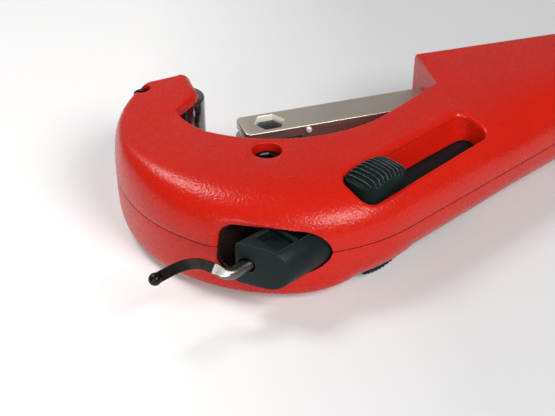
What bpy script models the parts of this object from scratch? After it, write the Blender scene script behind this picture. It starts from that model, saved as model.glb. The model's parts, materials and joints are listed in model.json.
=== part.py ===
"""C-frame pipe cutter with a telescoping wheel carriage and a slide-out deburrer.

Sizes are in millimetres. X runs along the feed axis towards the knob, Y towards the open side of the
throat, and Z is up from the lower face of the body, which lies flat.
"""

import math

import bmesh
import bpy

MM = 0.001

# Clearances
FIT = 0.3
PART_GAP = 0.3

# Body halves: the throat is an arc, the hook an arc about a centre below the throat's, and the spine runs
# straight from the hook to a round neck. Places are counted from the mouth, where the bar leaves the handle.
HALF = 17.0
MOUTH_X = -28.0
MOUTH_LEAN = 4.0
THROAT_AHEAD = 53.0
THROAT_Y = 22.0
THROAT_R = 53.5
THROAT_X = MOUTH_X - THROAT_AHEAD
RAMP_DEG = 30.0
HOOK_AHEAD = 8.5
HOOK_DROP = 36.5
HOOK_R = 60.5
HOOK_X = THROAT_X - HOOK_AHEAD
HOOK_Y = THROAT_Y - HOOK_DROP
SPINE_DEG = 23.0
NECK_R = 17.0
NECK_LONG = 20.6
KINK = 10.0
NOTCH_AHEAD = 43.5
NOTCH_X = THROAT_X - NOTCH_AHEAD
NOTCH_Y = 1.5
FLANK_POWER = 2.6
FLANK_TIP = 5.5
FLANK_SPINE = 31.0
FLANK_UNDER = 4.0
FLANK_ELBOW = 19.0
FLANK_BELOW = 26.0
UNDER_POWER = 4.2
UNDER_EASE = 3.5
ELBOW_SPAN = 4
RIM_R = 1.5
JAW_R = 4.5
EDGE_R = 3.0

# Guide rollers, and the tip round the first of them
TIP_ROLLER_BACK = 5.7
HEEL_ROLLER_BACK = 3.9
ROLLER_Y = 18.2
ROLLER_R = 8.5
ROLLER_HALF = 13.0
ROLLER_PROUD = 2.7
AXLE_R = 2.6
AXLE_LONG = 2.6
TIP_WALL = 3.3
TIP_CORNER_R = 10.0
TIP_FLAT = 6.0
TIP_NOSE = 2.0
JAW_LOW = 4.2
TIP_ROLLER_X = NOTCH_X + TIP_ROLLER_BACK
HEEL_ROLLER_X = NOTCH_X + HEEL_ROLLER_BACK
AXLE_HALF = ROLLER_HALF + AXLE_LONG
TIP_X = TIP_ROLLER_X + ROLLER_R - ROLLER_PROUD
TIP_Y = ROLLER_Y + ROLLER_R + TIP_WALL
TIP_LOW_Y = ROLLER_Y - JAW_LOW

# Carriage
BAR_W = 14.0
BAR_H = 13.0
BAR_AHEAD = 73.5
BAR_INSIDE = 25.0
BAR_FRONT = MOUTH_X - BAR_AHEAD
BAR_BACK = MOUTH_X + BAR_INSIDE
TRAVEL_BACK = 48.0
WHEEL_BACK = 11.0
WHEEL_X = BAR_FRONT + WHEEL_BACK
WHEEL_R = 12.6
WHEEL_HUB_R = 6.0
WHEEL_HUB = 2.6
BOLT_R = 2.5
HEX_AF = 9.4
HEX_DEEP = 3.0
STOP_R = 1.2
NUT_LONG = 8.0

# Feed spindle, its bearing and the knob
ROD_R = 4.0
ROD_SPARE = 4.6
JOURNAL_R = 5.0
COLLAR_R = 7.4
COLLAR_LONG = 2.8
WASHER = 1.0
BUSH_R = 8.0
BUSH_FLANGE_R = 10.5
BUSH_FLANGE = 3.0
BUSH_LONG = 16.0
RING = 1.2
SQUARE = 6.4
KNOB_R = 17.5
KNOB_LONG = 34.0
KNOB_FLUTES = 10
FLUTE_DEEP = 1.5

# Deburrer: a slider that runs along a line at SLIDE_DEG through the thumb button, which lies inside the
# start of the spine's outer edge
SLIDE_DEG = 24.5
BUTTON_INSET = 13.63
BUTTON_AHEAD = 1.43
BUTTON_S = 2.9
BUTTON_T = 0.9
BUTTON_LONG = 20.0
BUTTON_W = 12.6
BUTTON_CORNER = 4.2
BUTTON_PROUD = 2.6
BUTTON_FALL = 2.4
BUTTON_DOME = 1.6
BUTTON_RIBS = 9
RIB_DEEP = 0.7
SLIDE_TRAVEL = 42.0
HOLDER_FRONT = 52.7
HOLDER_LONG = 25.7
HOLDER_SLANT_DEG = 25.0
HOLDER_IN = -11.3
HOLDER_OUT = 5.2
HOLDER_HALF = 7.6
RAIL_BACK = -50.0
RAIL_IN = -6.5
RAIL_HALF = 6.4
BLADE_BACK = 1.2
BLADE_FROM = HOLDER_FRONT - BLADE_BACK
SHANK_R = 2.0
SHANK_T = -7.8
SHANK_LONG = 15.0
ARM_R = 1.7
BALL_R = 2.0
BLADE_OFFSET = 10.45
BLADE_LONG = 29.2
BLADE_TURN_DEG = 22.0
BLADE_BUSH_R = 2.8
BUSH_SUNK = 1.0
WINDOW_SIDE = 2.15
WINDOW_R = 4.4
SPRING_LONG = 28.0
SPRING_HALF = 3.0
SPRING_BOW = 2.6
SPRING_THICK = 0.5

# Body screws
TIP_HEAD_R = 3.0
TIP_THREAD_R = 1.6
TIP_SCREW_GAP = 5.7
TIP_SCREW_UP = 3.3
HOOK_HEAD_R = 4.6
HOOK_THREAD_R = 2.4
HOOK_SCREW_IN = 8.45
HOOK_SCREW_DEG = 248.9
HANDLE_HEAD_R = 3.8
HANDLE_THREAD_R = 2.0
HANDLE_SCREW_BACK = 36.0
HANDLE_WALL = 0.7
HEAD_SEAT = 8.5
HEAD_HIGH = 4.2
SHANK_DEEP = 11.5


def clear_scene():
    for ob in list(bpy.data.objects):
        bpy.data.objects.remove(ob, do_unlink=True)


def material(name, rgb, metal, rough):
    mat = bpy.data.materials.new(name)
    mat.use_nodes = True
    shader = mat.node_tree.nodes["Principled BSDF"]
    shader.inputs["Base Color"].default_value = (*rgb, 1.0)
    shader.inputs["Metallic"].default_value = metal
    shader.inputs["Roughness"].default_value = rough
    return mat


def add(name, verts, faces, mat):
    """A mesh object from points in millimetres about the parting plane."""
    bm = bmesh.new()
    made = [bm.verts.new((x * MM, y * MM, (z + HALF) * MM)) for x, y, z in verts]
    for face in faces:
        bm.faces.new([made[i] for i in face])
    bmesh.ops.recalc_face_normals(bm, faces=bm.faces)
    mesh = bpy.data.meshes.new(name)
    bm.to_mesh(mesh)
    bm.free()
    ob = bpy.data.objects.new(name, mesh)
    bpy.context.scene.collection.objects.link(ob)
    if mat is not None:
        mesh.materials.append(mat)
    return ob


def plan(u, v, w):
    return u, v, w


def on_spine(along, inwards=0.0):
    """A point on the spine's outer edge, counted from its start at the hook, or inside that edge."""
    a = math.radians(SPINE_DEG)
    return (
        HOOK_X + (HOOK_R - inwards) * math.sin(a) + along * math.cos(a),
        HOOK_Y - (HOOK_R - inwards) * math.cos(a) + along * math.sin(a),
    )


def spine_length():
    return (-NECK_R - on_spine(0.0)[1]) / math.sin(math.radians(SPINE_DEG))


def handle_end():
    return on_spine(spine_length())[0] + NECK_LONG


def slide(s, t, z):
    """Slider frame: s outwards from the button, t towards the outer side of the body, z up."""
    a = math.radians(SLIDE_DEG)
    x, y = on_spine(-BUTTON_AHEAD, BUTTON_INSET)
    return x - s * math.cos(a) + t * math.sin(a), y - s * math.sin(a) - t * math.cos(a), z


def along_slide(t, z, s):
    return slide(s, t, z)


def prism(name, outline, lo, hi, mat=None, place=plan):
    n = len(outline)
    verts = [place(u, v, lo) for u, v in outline] + [place(u, v, hi) for u, v in outline]
    faces = [[i, (i + 1) % n, n + (i + 1) % n, n + i] for i in range(n)]
    faces += [list(range(n)), list(range(n, 2 * n))]
    return add(name, verts, faces, mat)


def box(name, u0, u1, v0, v1, w0, w1, mat=None, place=plan):
    return prism(name, [(u0, v0), (u1, v0), (u1, v1), (u0, v1)], w0, w1, mat, place)


def lathe(name, profile, place, sides, mat=None, ring=False):
    """Turns (h, r) points about the h axis: a solid with flat ends, or a ring from a closed loop."""
    verts = []
    for h, r in profile:
        for i in range(sides):
            a = 2 * math.pi * (i + 0.5) / sides
            verts.append(place(h, r * math.cos(a), r * math.sin(a)))
    rows = [list(range(k * sides, (k + 1) * sides)) for k in range(len(profile))]
    faces = []
    pairs = list(zip(rows, rows[1:]))
    if ring:
        pairs.append((rows[-1], rows[0]))
    else:
        faces += [rows[0], rows[-1]]
    for lower, upper in pairs:
        for i in range(sides):
            j = (i + 1) % sides
            faces.append([lower[i], lower[j], upper[j], upper[i]])
    return add(name, verts, faces, mat)


def upright(x, y):
    return lambda h, a, b: (x + a, y + b, h)


def lengthways(h, a, b):
    return h, a, b


def rod(name, lo, hi, r, place, sides=24, mat=None):
    return lathe(name, [(lo, r), (hi, r)], place, sides, mat)


def hexagon(x, y, across):
    r = across / math.sqrt(3)
    return [
        (x + r * math.cos(k * math.pi / 3), y + r * math.sin(k * math.pi / 3)) for k in range(6)
    ]


def combine(ob, other, operation="DIFFERENCE"):
    mod = ob.modifiers.new(other.name, "BOOLEAN")
    mod.operation = operation
    mod.solver = "EXACT"
    mod.object = other
    other.hide_render = True
    other.display_type = "WIRE"


def arc(x, y, r, a0, a1, steps=24):
    return [
        (
            x + r * math.cos(math.radians(a0 + (a1 - a0) * i / steps)),
            y + r * math.sin(math.radians(a0 + (a1 - a0) * i / steps)),
        )
        for i in range(steps + 1)
    ]


def bend(p, q, r, steps=12):
    """A quadratic curve from p to r that heads for q."""
    out = []
    for i in range(steps + 1):
        t = i / steps
        out.append(
            tuple((1 - t) ** 2 * a + 2 * t * (1 - t) * b + t * t * c for a, b, c in zip(p, q, r))
        )
    return out


def spread(points, steps):
    """steps + 1 points evenly spaced along a polyline."""
    runs = [0.0]
    for p, q in zip(points, points[1:]):
        runs.append(runs[-1] + math.dist(p, q))
    out, k = [], 0
    for i in range(steps + 1):
        want = runs[-1] * i / steps
        while k < len(runs) - 2 and runs[k + 1] < want:
            k += 1
        f = (want - runs[k]) / max(runs[k + 1] - runs[k], 1e-9)
        out.append(tuple(a + (b - a) * f for a, b in zip(points[k], points[k + 1])))
    return out


def body_spans():
    """Matched stretches of the outer and inner edges of the body, from the tip round to the knob end:
    (outer points, inner points, steps, upper and lower flank widths and inner rounding at its ends)."""
    corner_y = TIP_Y - TIP_CORNER_R
    reach = HOOK_R - TIP_CORNER_R
    corner_x = HOOK_X - math.sqrt(reach**2 - (corner_y - HOOK_Y) ** 2)
    tip_deg = math.degrees(math.atan2(corner_y - HOOK_Y, corner_x - HOOK_X))
    spine_deg = 270.0 + SPINE_DEG
    length = spine_length()

    def spine(share):
        return on_spine(share * length)

    def hook(a0, a1):
        return arc(HOOK_X, HOOK_Y, HOOK_R, a0, a1)

    throat_end = 270.0 + RAMP_DEG
    throat = arc(THROAT_X, THROAT_Y, THROAT_R, 225.0, throat_end)
    rise = math.tan(math.radians(RAMP_DEG))
    low = (MOUTH_X, throat[-1][1] + (MOUTH_X - throat[-1][0]) * rise)
    high = (MOUTH_X + MOUTH_LEAN, NECK_R)
    notch = (NOTCH_X, NOTCH_Y)
    corner = arc(corner_x, corner_y, TIP_CORNER_R, 90.0, tip_deg)
    tip_outer = [(TIP_X - TIP_FLAT, TIP_Y - TIP_NOSE)]
    tip_outer += [p for p in corner if p[1] < TIP_Y - TIP_NOSE]
    tip_inner = [(TIP_X, TIP_Y - 2 * TIP_NOSE), (TIP_X, TIP_LOW_Y)]
    kink = spine(1.0)
    end = kink[0] + NECK_LONG
    rear = bend(spine(0.92), kink, (kink[0] + KINK, -NECK_R)) + [(end, -NECK_R)]
    jaw = [tip_inner[-1], (TIP_X - 2.0, TIP_LOW_Y - 3.5), notch]
    heel = bend(notch, (NOTCH_X - 0.5, NOTCH_Y - 8.0), throat[0])
    far = (rear[0][0] - 6.0, NECK_R)
    neck = NECK_R + 2.0
    tip = FLANK_TIP
    wide = FLANK_SPINE
    under = FLANK_UNDER
    elbow = FLANK_ELBOW
    below = FLANK_BELOW
    fork = 0.5 * (tip + under)
    edge = EDGE_R
    rim = RIM_R
    return [
        (tip_outer, tip_inner, 7, (tip, tip), (tip, tip), (JAW_R, JAW_R)),
        (hook(tip_deg, 183.0), jaw, 7, (tip, tip), (tip, fork), (JAW_R, rim)),
        (hook(183.0, 212.0), heel, 6, (tip, 0.5 * wide), (fork, under), (rim, rim)),
        (hook(212.0, 246.0), throat[:10], 6, (0.5 * wide, 0.82 * wide), (under, under), (rim, rim)),
        (hook(246.0, 274.0), throat[9:17], 6, (0.82 * wide, 0.9 * wide), (under, elbow), (rim, rim)),
        (hook(274.0, spine_deg), throat[16:], 4, (0.9 * wide, wide), (elbow, below), (rim, rim)),
        ([spine(0.0), spine(0.29)], [throat[-1], low], 5, (wide, wide), (below, below), (rim, rim)),
        ([spine(0.29), spine(0.46)], [low, high], 5, (wide, wide), (below, below), (rim, edge)),
        ([spine(0.46), spine(0.92)], [high, far], 8, (wide, neck), (below, neck), (edge, edge + 1)),
        (rear, [far, (end, NECK_R)], 6, (neck, NECK_R), (neck, NECK_R), (edge + 1, NECK_R)),
    ]


def section(outer, inner, flank, rounding, power, inset=0.0, ahead=0.0):
    """Half of a cross-section: (x, y, height) points from the outer edge over the top to the inner edge.
    An end section is inset all round and moved ahead, at right angles to itself."""
    width = math.dist(outer, inner)
    flank = min(flank, 0.62 * width)
    across = min(rounding, width - flank - 0.4)
    low = 0.5 * PART_GAP
    rows = []
    for k in range(10):
        a = math.radians(90.0 * k / 9)
        d = flank * (1.0 - math.cos(a) ** (2 / power)) if k < 9 else flank
        rows.append((d, max(low, HALF * math.sin(a) ** (2 / power))))
    for k in range(5):
        a = math.radians(90.0 * k / 4)
        drop = min(rounding, HALF - 1.0)
        rows.append((width - across * (1 - math.sin(a)), HALF - drop * (1 - math.cos(a))))
    rows.append((width, low))
    u = ((inner[0] - outer[0]) / width, (inner[1] - outer[1]) / width)
    points = []
    for d, z in rows:
        d = inset + d * (width - 2 * inset) / width
        z = low + (z - low) * (HALF - inset - low) / (HALF - low)
        points.append((outer[0] + u[0] * d - u[1] * ahead, outer[1] + u[1] * d + u[0] * ahead, z))
    return points


def body_half(name, sign, mat):
    first = body_spans()[0]
    flank = (first[3] if sign > 0 else first[4])[0]
    sections = []
    for k in range(3, 0, -1):
        a = math.radians(26.0 * k)
        inset, ahead = TIP_NOSE * (1 - math.cos(a)), TIP_NOSE * math.sin(a)
        sections.append(section(first[0][0], first[1][0], flank, first[5][0], FLANK_POWER, inset, ahead))
    for number, (outer, inner, steps, above, below, roundings) in enumerate(body_spans()):
        a, b = spread(outer, steps), spread(inner, steps)
        flanks = above if sign > 0 else below
        for i in range(steps + 1):
            if i == 0 and number > 0:
                continue
            t = i / steps
            swell = t**UNDER_EASE if sign < 0 and number == ELBOW_SPAN else t
            flank = flanks[0] + (flanks[1] - flanks[0]) * swell
            rounding = roundings[0] + (roundings[1] - roundings[0]) * t
            power = FLANK_POWER
            in_hook = number <= ELBOW_SPAN + 1
            if sign < 0:
                full = max(0.0, min(1.0, (FLANK_SPINE - flank) / (FLANK_SPINE - FLANK_UNDER)))
                power += (UNDER_POWER - FLANK_POWER) * full * in_hook
            sections.append(section(a[i], b[i], flank, rounding, power))
    size = len(sections[0])
    verts = [(x, y, sign * z) for s in sections for x, y, z in s]
    faces = []
    for i in range(len(sections) - 1):
        for j in range(size):
            k = (j + 1) % size
            faces.append([i * size + j, i * size + k, (i + 1) * size + k, (i + 1) * size + j])
    faces.append(list(range(size)))
    faces.append(list(range((len(sections) - 1) * size, len(sections) * size)))
    return add(name, verts, faces, mat)


def quarter(steps):
    return [0.5 * math.pi * k / steps for k in range(steps + 1)]


def holder_outline(inner, outer, half, r):
    """D-shaped section of the slider's holder: flat on the inner side, round on the outer side."""
    points = [(inner + r - r * math.sin(a), r - half - r * math.cos(a)) for a in quarter(4)]
    points += [(inner + r - r * math.cos(a), half - r + r * math.sin(a)) for a in quarter(4)]
    centre = outer - half
    points += [
        (centre + half * math.sin(a), half * math.cos(a))
        for a in [math.pi * k / 12 for k in range(13)]
    ]
    return points


def slot_outline(spare, long, steps=4):
    """Rounded rectangle of the button in the slider frame, with room all round and a longer back end."""
    half = 0.5 * BUTTON_LONG + spare
    wide = 0.5 * BUTTON_W + spare
    r = BUTTON_CORNER + spare
    s0, s1 = BUTTON_S - half - long, BUTTON_S + half
    t0, t1 = BUTTON_T - wide, BUTTON_T + wide
    turn = quarter(steps)
    points = [(s1 - r + r * math.sin(a), t0 + r - r * math.cos(a)) for a in turn]
    points += [(s1 - r + r * math.cos(a), t1 - r + r * math.sin(a)) for a in turn]
    points += [(s0 + r - r * math.sin(a), t1 - r + r * math.cos(a)) for a in turn]
    points += [(s0 + r - r * math.cos(a), t0 + r - r * math.sin(a)) for a in turn]
    return points


def holder_face(t):
    """Where the holder's slanted front face lies along the slide: its outer side is set back."""
    return HOLDER_FRONT - (t - HOLDER_IN) * math.tan(math.radians(HOLDER_SLANT_DEG))


def roller_places():
    return ("tip", TIP_ROLLER_X, ROLLER_Y), ("heel", HEEL_ROLLER_X, -ROLLER_Y)


def screw_places():
    """Body screws: x, y, head radius and thread radius."""
    a = math.radians(HOOK_SCREW_DEG)
    r = THROAT_R + HOOK_SCREW_IN
    beside = 0.5 * BAR_W + FIT + HANDLE_WALL + HANDLE_HEAD_R + 0.4
    back = handle_end() - HANDLE_SCREW_BACK
    left = TIP_ROLLER_X - ROLLER_R - TIP_SCREW_GAP
    return {
        "tip_screw": (left, ROLLER_Y + TIP_SCREW_UP, TIP_HEAD_R, TIP_THREAD_R),
        "hook_screw": (
            THROAT_X + r * math.cos(a),
            THROAT_Y + r * math.sin(a),
            HOOK_HEAD_R,
            HOOK_THREAD_R,
        ),
        "handle_screw_far": (back, beside, HANDLE_HEAD_R, HANDLE_THREAD_R),
        "handle_screw_near": (back, -beside, HANDLE_HEAD_R, HANDLE_THREAD_R),
    }


def make_body(red, steel):
    halves = [body_half("upper_body_half", 1, red), body_half("lower_body_half", -1, red)]
    wide = 0.5 * BAR_W + FIT
    tall = 0.5 * BAR_H + FIT
    seat = bearing()
    way_end = BAR_BACK + NUT_LONG + TRAVEL_BACK + 2.0
    cutters = [
        box("bar_way", BAR_FRONT, way_end, -wide, wide, -tall, tall),
        lathe(
            "spindle_way",
            [
                (BAR_BACK, COLLAR_R + FIT),
                (seat["bush"] - 0.5, COLLAR_R + FIT),
                (seat["bush"] - 0.5, BUSH_R + FIT),
                (seat["flange"] - FIT, BUSH_R + FIT),
                (seat["flange"] - FIT, BUSH_FLANGE_R + FIT),
                (seat["flange"] + BUSH_FLANGE + FIT, BUSH_FLANGE_R + FIT),
                (seat["flange"] + BUSH_FLANGE + FIT, BUSH_R + FIT),
                (handle_end() + 5, BUSH_R + FIT),
            ],
            lengthways,
            24,
        ),
    ]
    for side, x, y in roller_places():
        deep = ROLLER_HALF + 0.5
        hole = AXLE_HALF + FIT
        cutters.append(
            lathe(
                side + "_pocket",
                [
                    (-hole, AXLE_R + FIT),
                    (-deep, AXLE_R + FIT),
                    (-deep, ROLLER_R + 0.8),
                    (deep, ROLLER_R + 0.8),
                    (deep, AXLE_R + FIT),
                    (hole, AXLE_R + FIT),
                ],
                upright(x, y),
                28,
            )
        )
    deep = ROLLER_HALF + 0.5
    wall = ROLLER_Y + ROLLER_R + 0.5
    pocket = TIP_ROLLER_X - ROLLER_R
    cutters.append(
        prism(
            "tip_fork",
            [
                (pocket + 0.5, ROLLER_Y - ROLLER_R),
                (NOTCH_X + 2.0, NOTCH_Y - 2.0),
                (TIP_X + ROLLER_R, NOTCH_Y - 2.0),
                (TIP_X + ROLLER_R, wall),
                (TIP_ROLLER_X, wall - 0.2),
                (pocket + 0.5, ROLLER_Y + 4.0),
            ],
            0.1 - deep,
            deep - 0.1,
        )
    )
    back = HOLDER_FRONT - HOLDER_LONG - SLIDE_TRAVEL - 1.0
    left = SHANK_T - BLADE_OFFSET * math.cos(math.radians(BLADE_TURN_DEG)) - BALL_R - WINDOW_SIDE
    root = BLADE_FROM - SLIDE_TRAVEL - 3.0
    out = HOLDER_FRONT + 40.0
    tall = HOLDER_HALF + 0.5
    channel = holder_outline(HOLDER_IN - 0.4, HOLDER_OUT + 0.5, tall, 2.0)
    cutters.append(prism("holder_way", channel, back, out, place=along_slide))
    r = WINDOW_R
    blade_way = [(HOLDER_IN + 3.0, 0.2 - tall), (HOLDER_IN + 3.0, tall - 0.2)]
    blade_way += [(left + r - r * math.sin(a), tall - 0.2 - r + r * math.cos(a)) for a in quarter(5)]
    blade_way += [(left + r - r * math.cos(a), r + 0.2 - tall - r * math.sin(a)) for a in quarter(5)]
    cutters.append(prism("blade_way", blade_way, root, out, place=along_slide))
    rail_end = RAIL_BACK - SLIDE_TRAVEL - 1.0
    rail = holder_outline(RAIL_IN - 0.4, HOLDER_OUT - 0.1, RAIL_HALF + 0.4, 1.0)
    cutters.append(prism("rail_way", rail, rail_end, back + 5, place=along_slide))
    for side, sign in (("upper", 1), ("lower", -1)):
        lo, hi = sign * 0.5 * RAIL_HALF, sign * 2 * HALF
        cutters.append(prism(side + "_slot", slot_outline(0.4, SLIDE_TRAVEL), lo, hi, place=slide))
    spring = spring_place()
    cutters.append(
        box(
            "spring_pocket",
            spring[0] - 0.6,
            spring[1] + 0.6,
            RAIL_IN - FIT - SPRING_BOW - SPRING_THICK - 0.6,
            RAIL_IN + 1.0,
            -SPRING_HALF - 0.4,
            SPRING_HALF + 0.4,
            place=slide,
        )
    )
    for ob in halves:
        for cutter in cutters:
            combine(ob, cutter)
    for name, (x, y, head, shank) in screw_places().items():
        spot = upright(x, y)
        hole = lathe(
            name + "_hole",
            [
                (-SHANK_DEEP - 0.5, shank + FIT),
                (HEAD_SEAT, shank + FIT),
                (HEAD_SEAT, head + 0.4),
                (2 * HALF, head + 0.4),
            ],
            spot,
            24,
        )
        combine(halves[0], hole)
        combine(halves[1], hole)
        top = HEAD_SEAT + FIT + HEAD_HIGH
        screw = lathe(
            name,
            [
                (-SHANK_DEEP, shank),
                (HEAD_SEAT + FIT, shank),
                (HEAD_SEAT + FIT, head),
                (top - 0.4, head),
                (top, head - 0.4),
            ],
            spot,
            24,
            steel,
        )
        combine(screw, prism(name + "_drive", hexagon(x, y, 1.05 * head), top - 2.0, top + 1))


def make_rollers(steel, pin):
    for side, x, y in roller_places():
        spot = upright(x, y)
        bore = AXLE_R + FIT
        edge = ROLLER_R - 0.6
        lathe(
            side + "_roller",
            [
                (-ROLLER_HALF, bore),
                (-ROLLER_HALF, edge),
                (-ROLLER_HALF + 0.6, ROLLER_R),
                (ROLLER_HALF - 0.6, ROLLER_R),
                (ROLLER_HALF, edge),
                (ROLLER_HALF, bore),
            ],
            spot,
            32,
            steel,
            ring=True,
        )
        rod(side + "_roller_axle", -AXLE_HALF, AXLE_HALF, AXLE_R, spot, 20, pin)


def fork_end():
    """Where the slot for the wheel ends in the bar."""
    return WHEEL_X + WHEEL_R + 0.8


def bore_front():
    return fork_end() + 2.5


def make_carriage(nickel, dark, blade_steel, brass):
    w, h = 0.5 * BAR_W, 0.5 * BAR_H
    c = 1.2
    nose = [
        (BAR_BACK, -w),
        (BAR_BACK, w),
        (BAR_FRONT + c, w),
        (BAR_FRONT, w - c),
        (BAR_FRONT, c - w),
        (BAR_FRONT + c, -w),
    ]
    bar = prism("carriage_bar", nose, -h, h, nickel)
    gap = WHEEL_HUB + FIT
    combine(bar, box("wheel_slot", BAR_FRONT - 5, fork_end(), -w - 5, w + 5, -gap, gap))
    combine(bar, rod("rod_bore", bore_front(), BAR_BACK + 5, ROD_R + FIT, lengthways, 24))
    combine(bar, prism("hex_pocket", hexagon(WHEEL_X, 0, HEX_AF + 0.6), h - HEX_DEEP, h + 5))
    spot = upright(WHEEL_X, 0.0)
    combine(bar, rod("bolt_hole", -h - 5, h, BOLT_R + FIT, spot, 20))
    stop_x = MOUTH_X - TRAVEL_BACK - STOP_R - 0.4
    stop_z = 0.5 * (gap + h)
    pin_y = -w + 2.4

    def sideways(a, b, c):
        return stop_x + b, a, stop_z + c

    combine(bar, rod("stop_hole", -w - 5, pin_y, STOP_R + 0.2, sideways, 16))
    rod("stop_pin", -w - 1.2, pin_y - FIT, STOP_R, sideways, 16, nickel)
    prism(
        "feed_nut",
        [
            (BAR_BACK + FIT, 0.4 - w),
            (BAR_BACK + NUT_LONG, 0.4 - w),
            (BAR_BACK + NUT_LONG, w - 0.4),
            (BAR_BACK + FIT, w - 0.4),
        ],
        0.4 - h,
        h - 0.4,
        brass,
    )
    nut = bpy.data.objects["feed_nut"]
    combine(nut, rod("nut_bore", BAR_BACK - 5, BAR_BACK + NUT_LONG + 5, ROD_R + FIT, lengthways, 24))
    seat = h - HEX_DEEP + FIT
    bolt = prism("wheel_bolt", hexagon(WHEEL_X, 0, HEX_AF), seat, seat + 1.4, dark)
    shank = rod("bolt_shank", -h + 0.4, seat + 0.7, BOLT_R, spot, 20)
    combine(bolt, shank, "UNION")
    edge = 0.12
    hole = BOLT_R + FIT
    lathe(
        "cutting_wheel",
        [
            (-WHEEL_HUB, hole),
            (-WHEEL_HUB, WHEEL_HUB_R),
            (-1.1, WHEEL_HUB_R + 0.6),
            (-1.1, WHEEL_R - 4.0),
            (-edge, WHEEL_R),
            (edge, WHEEL_R),
            (1.1, WHEEL_R - 4.0),
            (1.1, WHEEL_HUB_R + 0.6),
            (WHEEL_HUB, WHEEL_HUB_R),
            (WHEEL_HUB, hole),
        ],
        spot,
        40,
        blade_steel,
        ring=True,
    )


def bearing():
    """Where the pieces along the spindle start, counted back from the end of the handle."""
    back = handle_end() + 0.5
    bush = back - BUSH_LONG
    washer = bush - FIT - WASHER
    collar = washer - FIT - COLLAR_LONG
    return {
        "bush": bush,
        "flange": bush + 0.4 * BUSH_LONG,
        "washer": washer,
        "collar": collar,
        "ring": back + FIT,
        "knob": back + 2 * FIT + RING,
    }


def make_feed(steel, brass, black):
    at = bearing()
    knob = at["knob"]
    recess = knob + KNOB_LONG - 9.0
    front = bore_front() + TRAVEL_BACK + ROD_SPARE
    spindle = lathe(
        "feed_spindle",
        [
            (front, ROD_R - 0.8),
            (front + 0.8, ROD_R),
            (at["collar"], ROD_R),
            (at["collar"], COLLAR_R),
            (at["collar"] + COLLAR_LONG, COLLAR_R),
            (at["collar"] + COLLAR_LONG, JOURNAL_R),
            (at["ring"], JOURNAL_R),
            (at["ring"], JOURNAL_R - 0.7),
            (knob - FIT, JOURNAL_R - 0.7),
            (knob - FIT, 0.5 * SQUARE),
            (recess - 1.0, 0.5 * SQUARE),
        ],
        lengthways,
        24,
        steel,
    )
    combine(spindle, rod("screw_thread", recess - 12, recess + 5, 1.8 + 0.2, lengthways, 16))
    hole = JOURNAL_R + FIT
    lathe(
        "thrust_washer",
        [
            (at["washer"], hole),
            (at["washer"], COLLAR_R),
            (at["washer"] + WASHER, COLLAR_R),
            (at["washer"] + WASHER, hole),
        ],
        lengthways,
        24,
        brass,
        ring=True,
    )
    lathe(
        "spindle_bush",
        [
            (at["bush"], hole),
            (at["bush"], BUSH_R),
            (at["flange"], BUSH_R),
            (at["flange"], BUSH_FLANGE_R),
            (at["flange"] + BUSH_FLANGE, BUSH_FLANGE_R),
            (at["flange"] + BUSH_FLANGE, BUSH_R),
            (at["bush"] + BUSH_LONG, BUSH_R),
            (at["bush"] + BUSH_LONG, hole),
        ],
        lengthways,
        24,
        brass,
        ring=True,
    )
    groove = JOURNAL_R - 0.7 + 0.2
    lathe(
        "spindle_ring",
        [
            (at["ring"] + 0.1, groove),
            (at["ring"] + 0.1, BUSH_R - 0.5),
            (at["ring"] + RING - 0.1, BUSH_R - 0.5),
            (at["ring"] + RING - 0.1, groove),
        ],
        lengthways,
        24,
        steel,
        ring=True,
    )
    knob_body(knob, recess, black)
    screw = lathe(
        "knob_screw",
        [
            (recess - 10.0, 1.8),
            (recess + FIT, 1.8),
            (recess + FIT, 4.4),
            (recess + 3.6, 4.4),
            (recess + 4.0, 4.0),
        ],
        lengthways,
        24,
        steel,
    )
    drive = prism("knob_screw_drive", hexagon(0, 0, 4.0), recess + 1.8, recess + 6, place=end_on)
    combine(screw, drive)


def end_on(u, v, w):
    return w, u, v


def knob_body(start, recess, black):
    """Fluted round knob with a waist at its front."""
    stations = [(0.0, 0.72, 0), (1.2, 0.78, 0), (6.0, 0.80, 0), (10.0, 0.97, 0.5), (13.0, 1.0, 1.0)]
    stations += [(KNOB_LONG - 7.0, 0.98, 1.0), (KNOB_LONG - 3.0, 0.93, 0.6)]
    stations += [(KNOB_LONG - 0.8, 0.82, 0.1), (KNOB_LONG, 0.76, 0)]
    sides = 6 * KNOB_FLUTES
    verts, faces = [], []
    for h, share, flute in stations:
        for i in range(sides):
            a = 2 * math.pi * i / sides
            dip = FLUTE_DEEP * flute * max(0.0, math.cos(KNOB_FLUTES * a)) ** 2
            r = KNOB_R * share - dip
            verts.append((start + h, r * math.cos(a), r * math.sin(a)))
    for k in range(len(stations) - 1):
        for i in range(sides):
            j = (i + 1) % sides
            faces.append([k * sides + i, k * sides + j, (k + 1) * sides + j, (k + 1) * sides + i])
    faces.append(list(range(sides)))
    faces.append(list(range((len(stations) - 1) * sides, len(stations) * sides)))
    knob = add("feed_knob", verts, faces, black)
    combine(knob, rod("knob_bore", start - 5, recess + 1, 0.5 * SQUARE + FIT, lengthways, 24))
    combine(knob, rod("knob_recess", recess, start + KNOB_LONG + 5, 6.2, lengthways, 28))


def spring_place():
    return RAIL_BACK + 4.0, RAIL_BACK + 4.0 + SPRING_LONG


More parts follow.
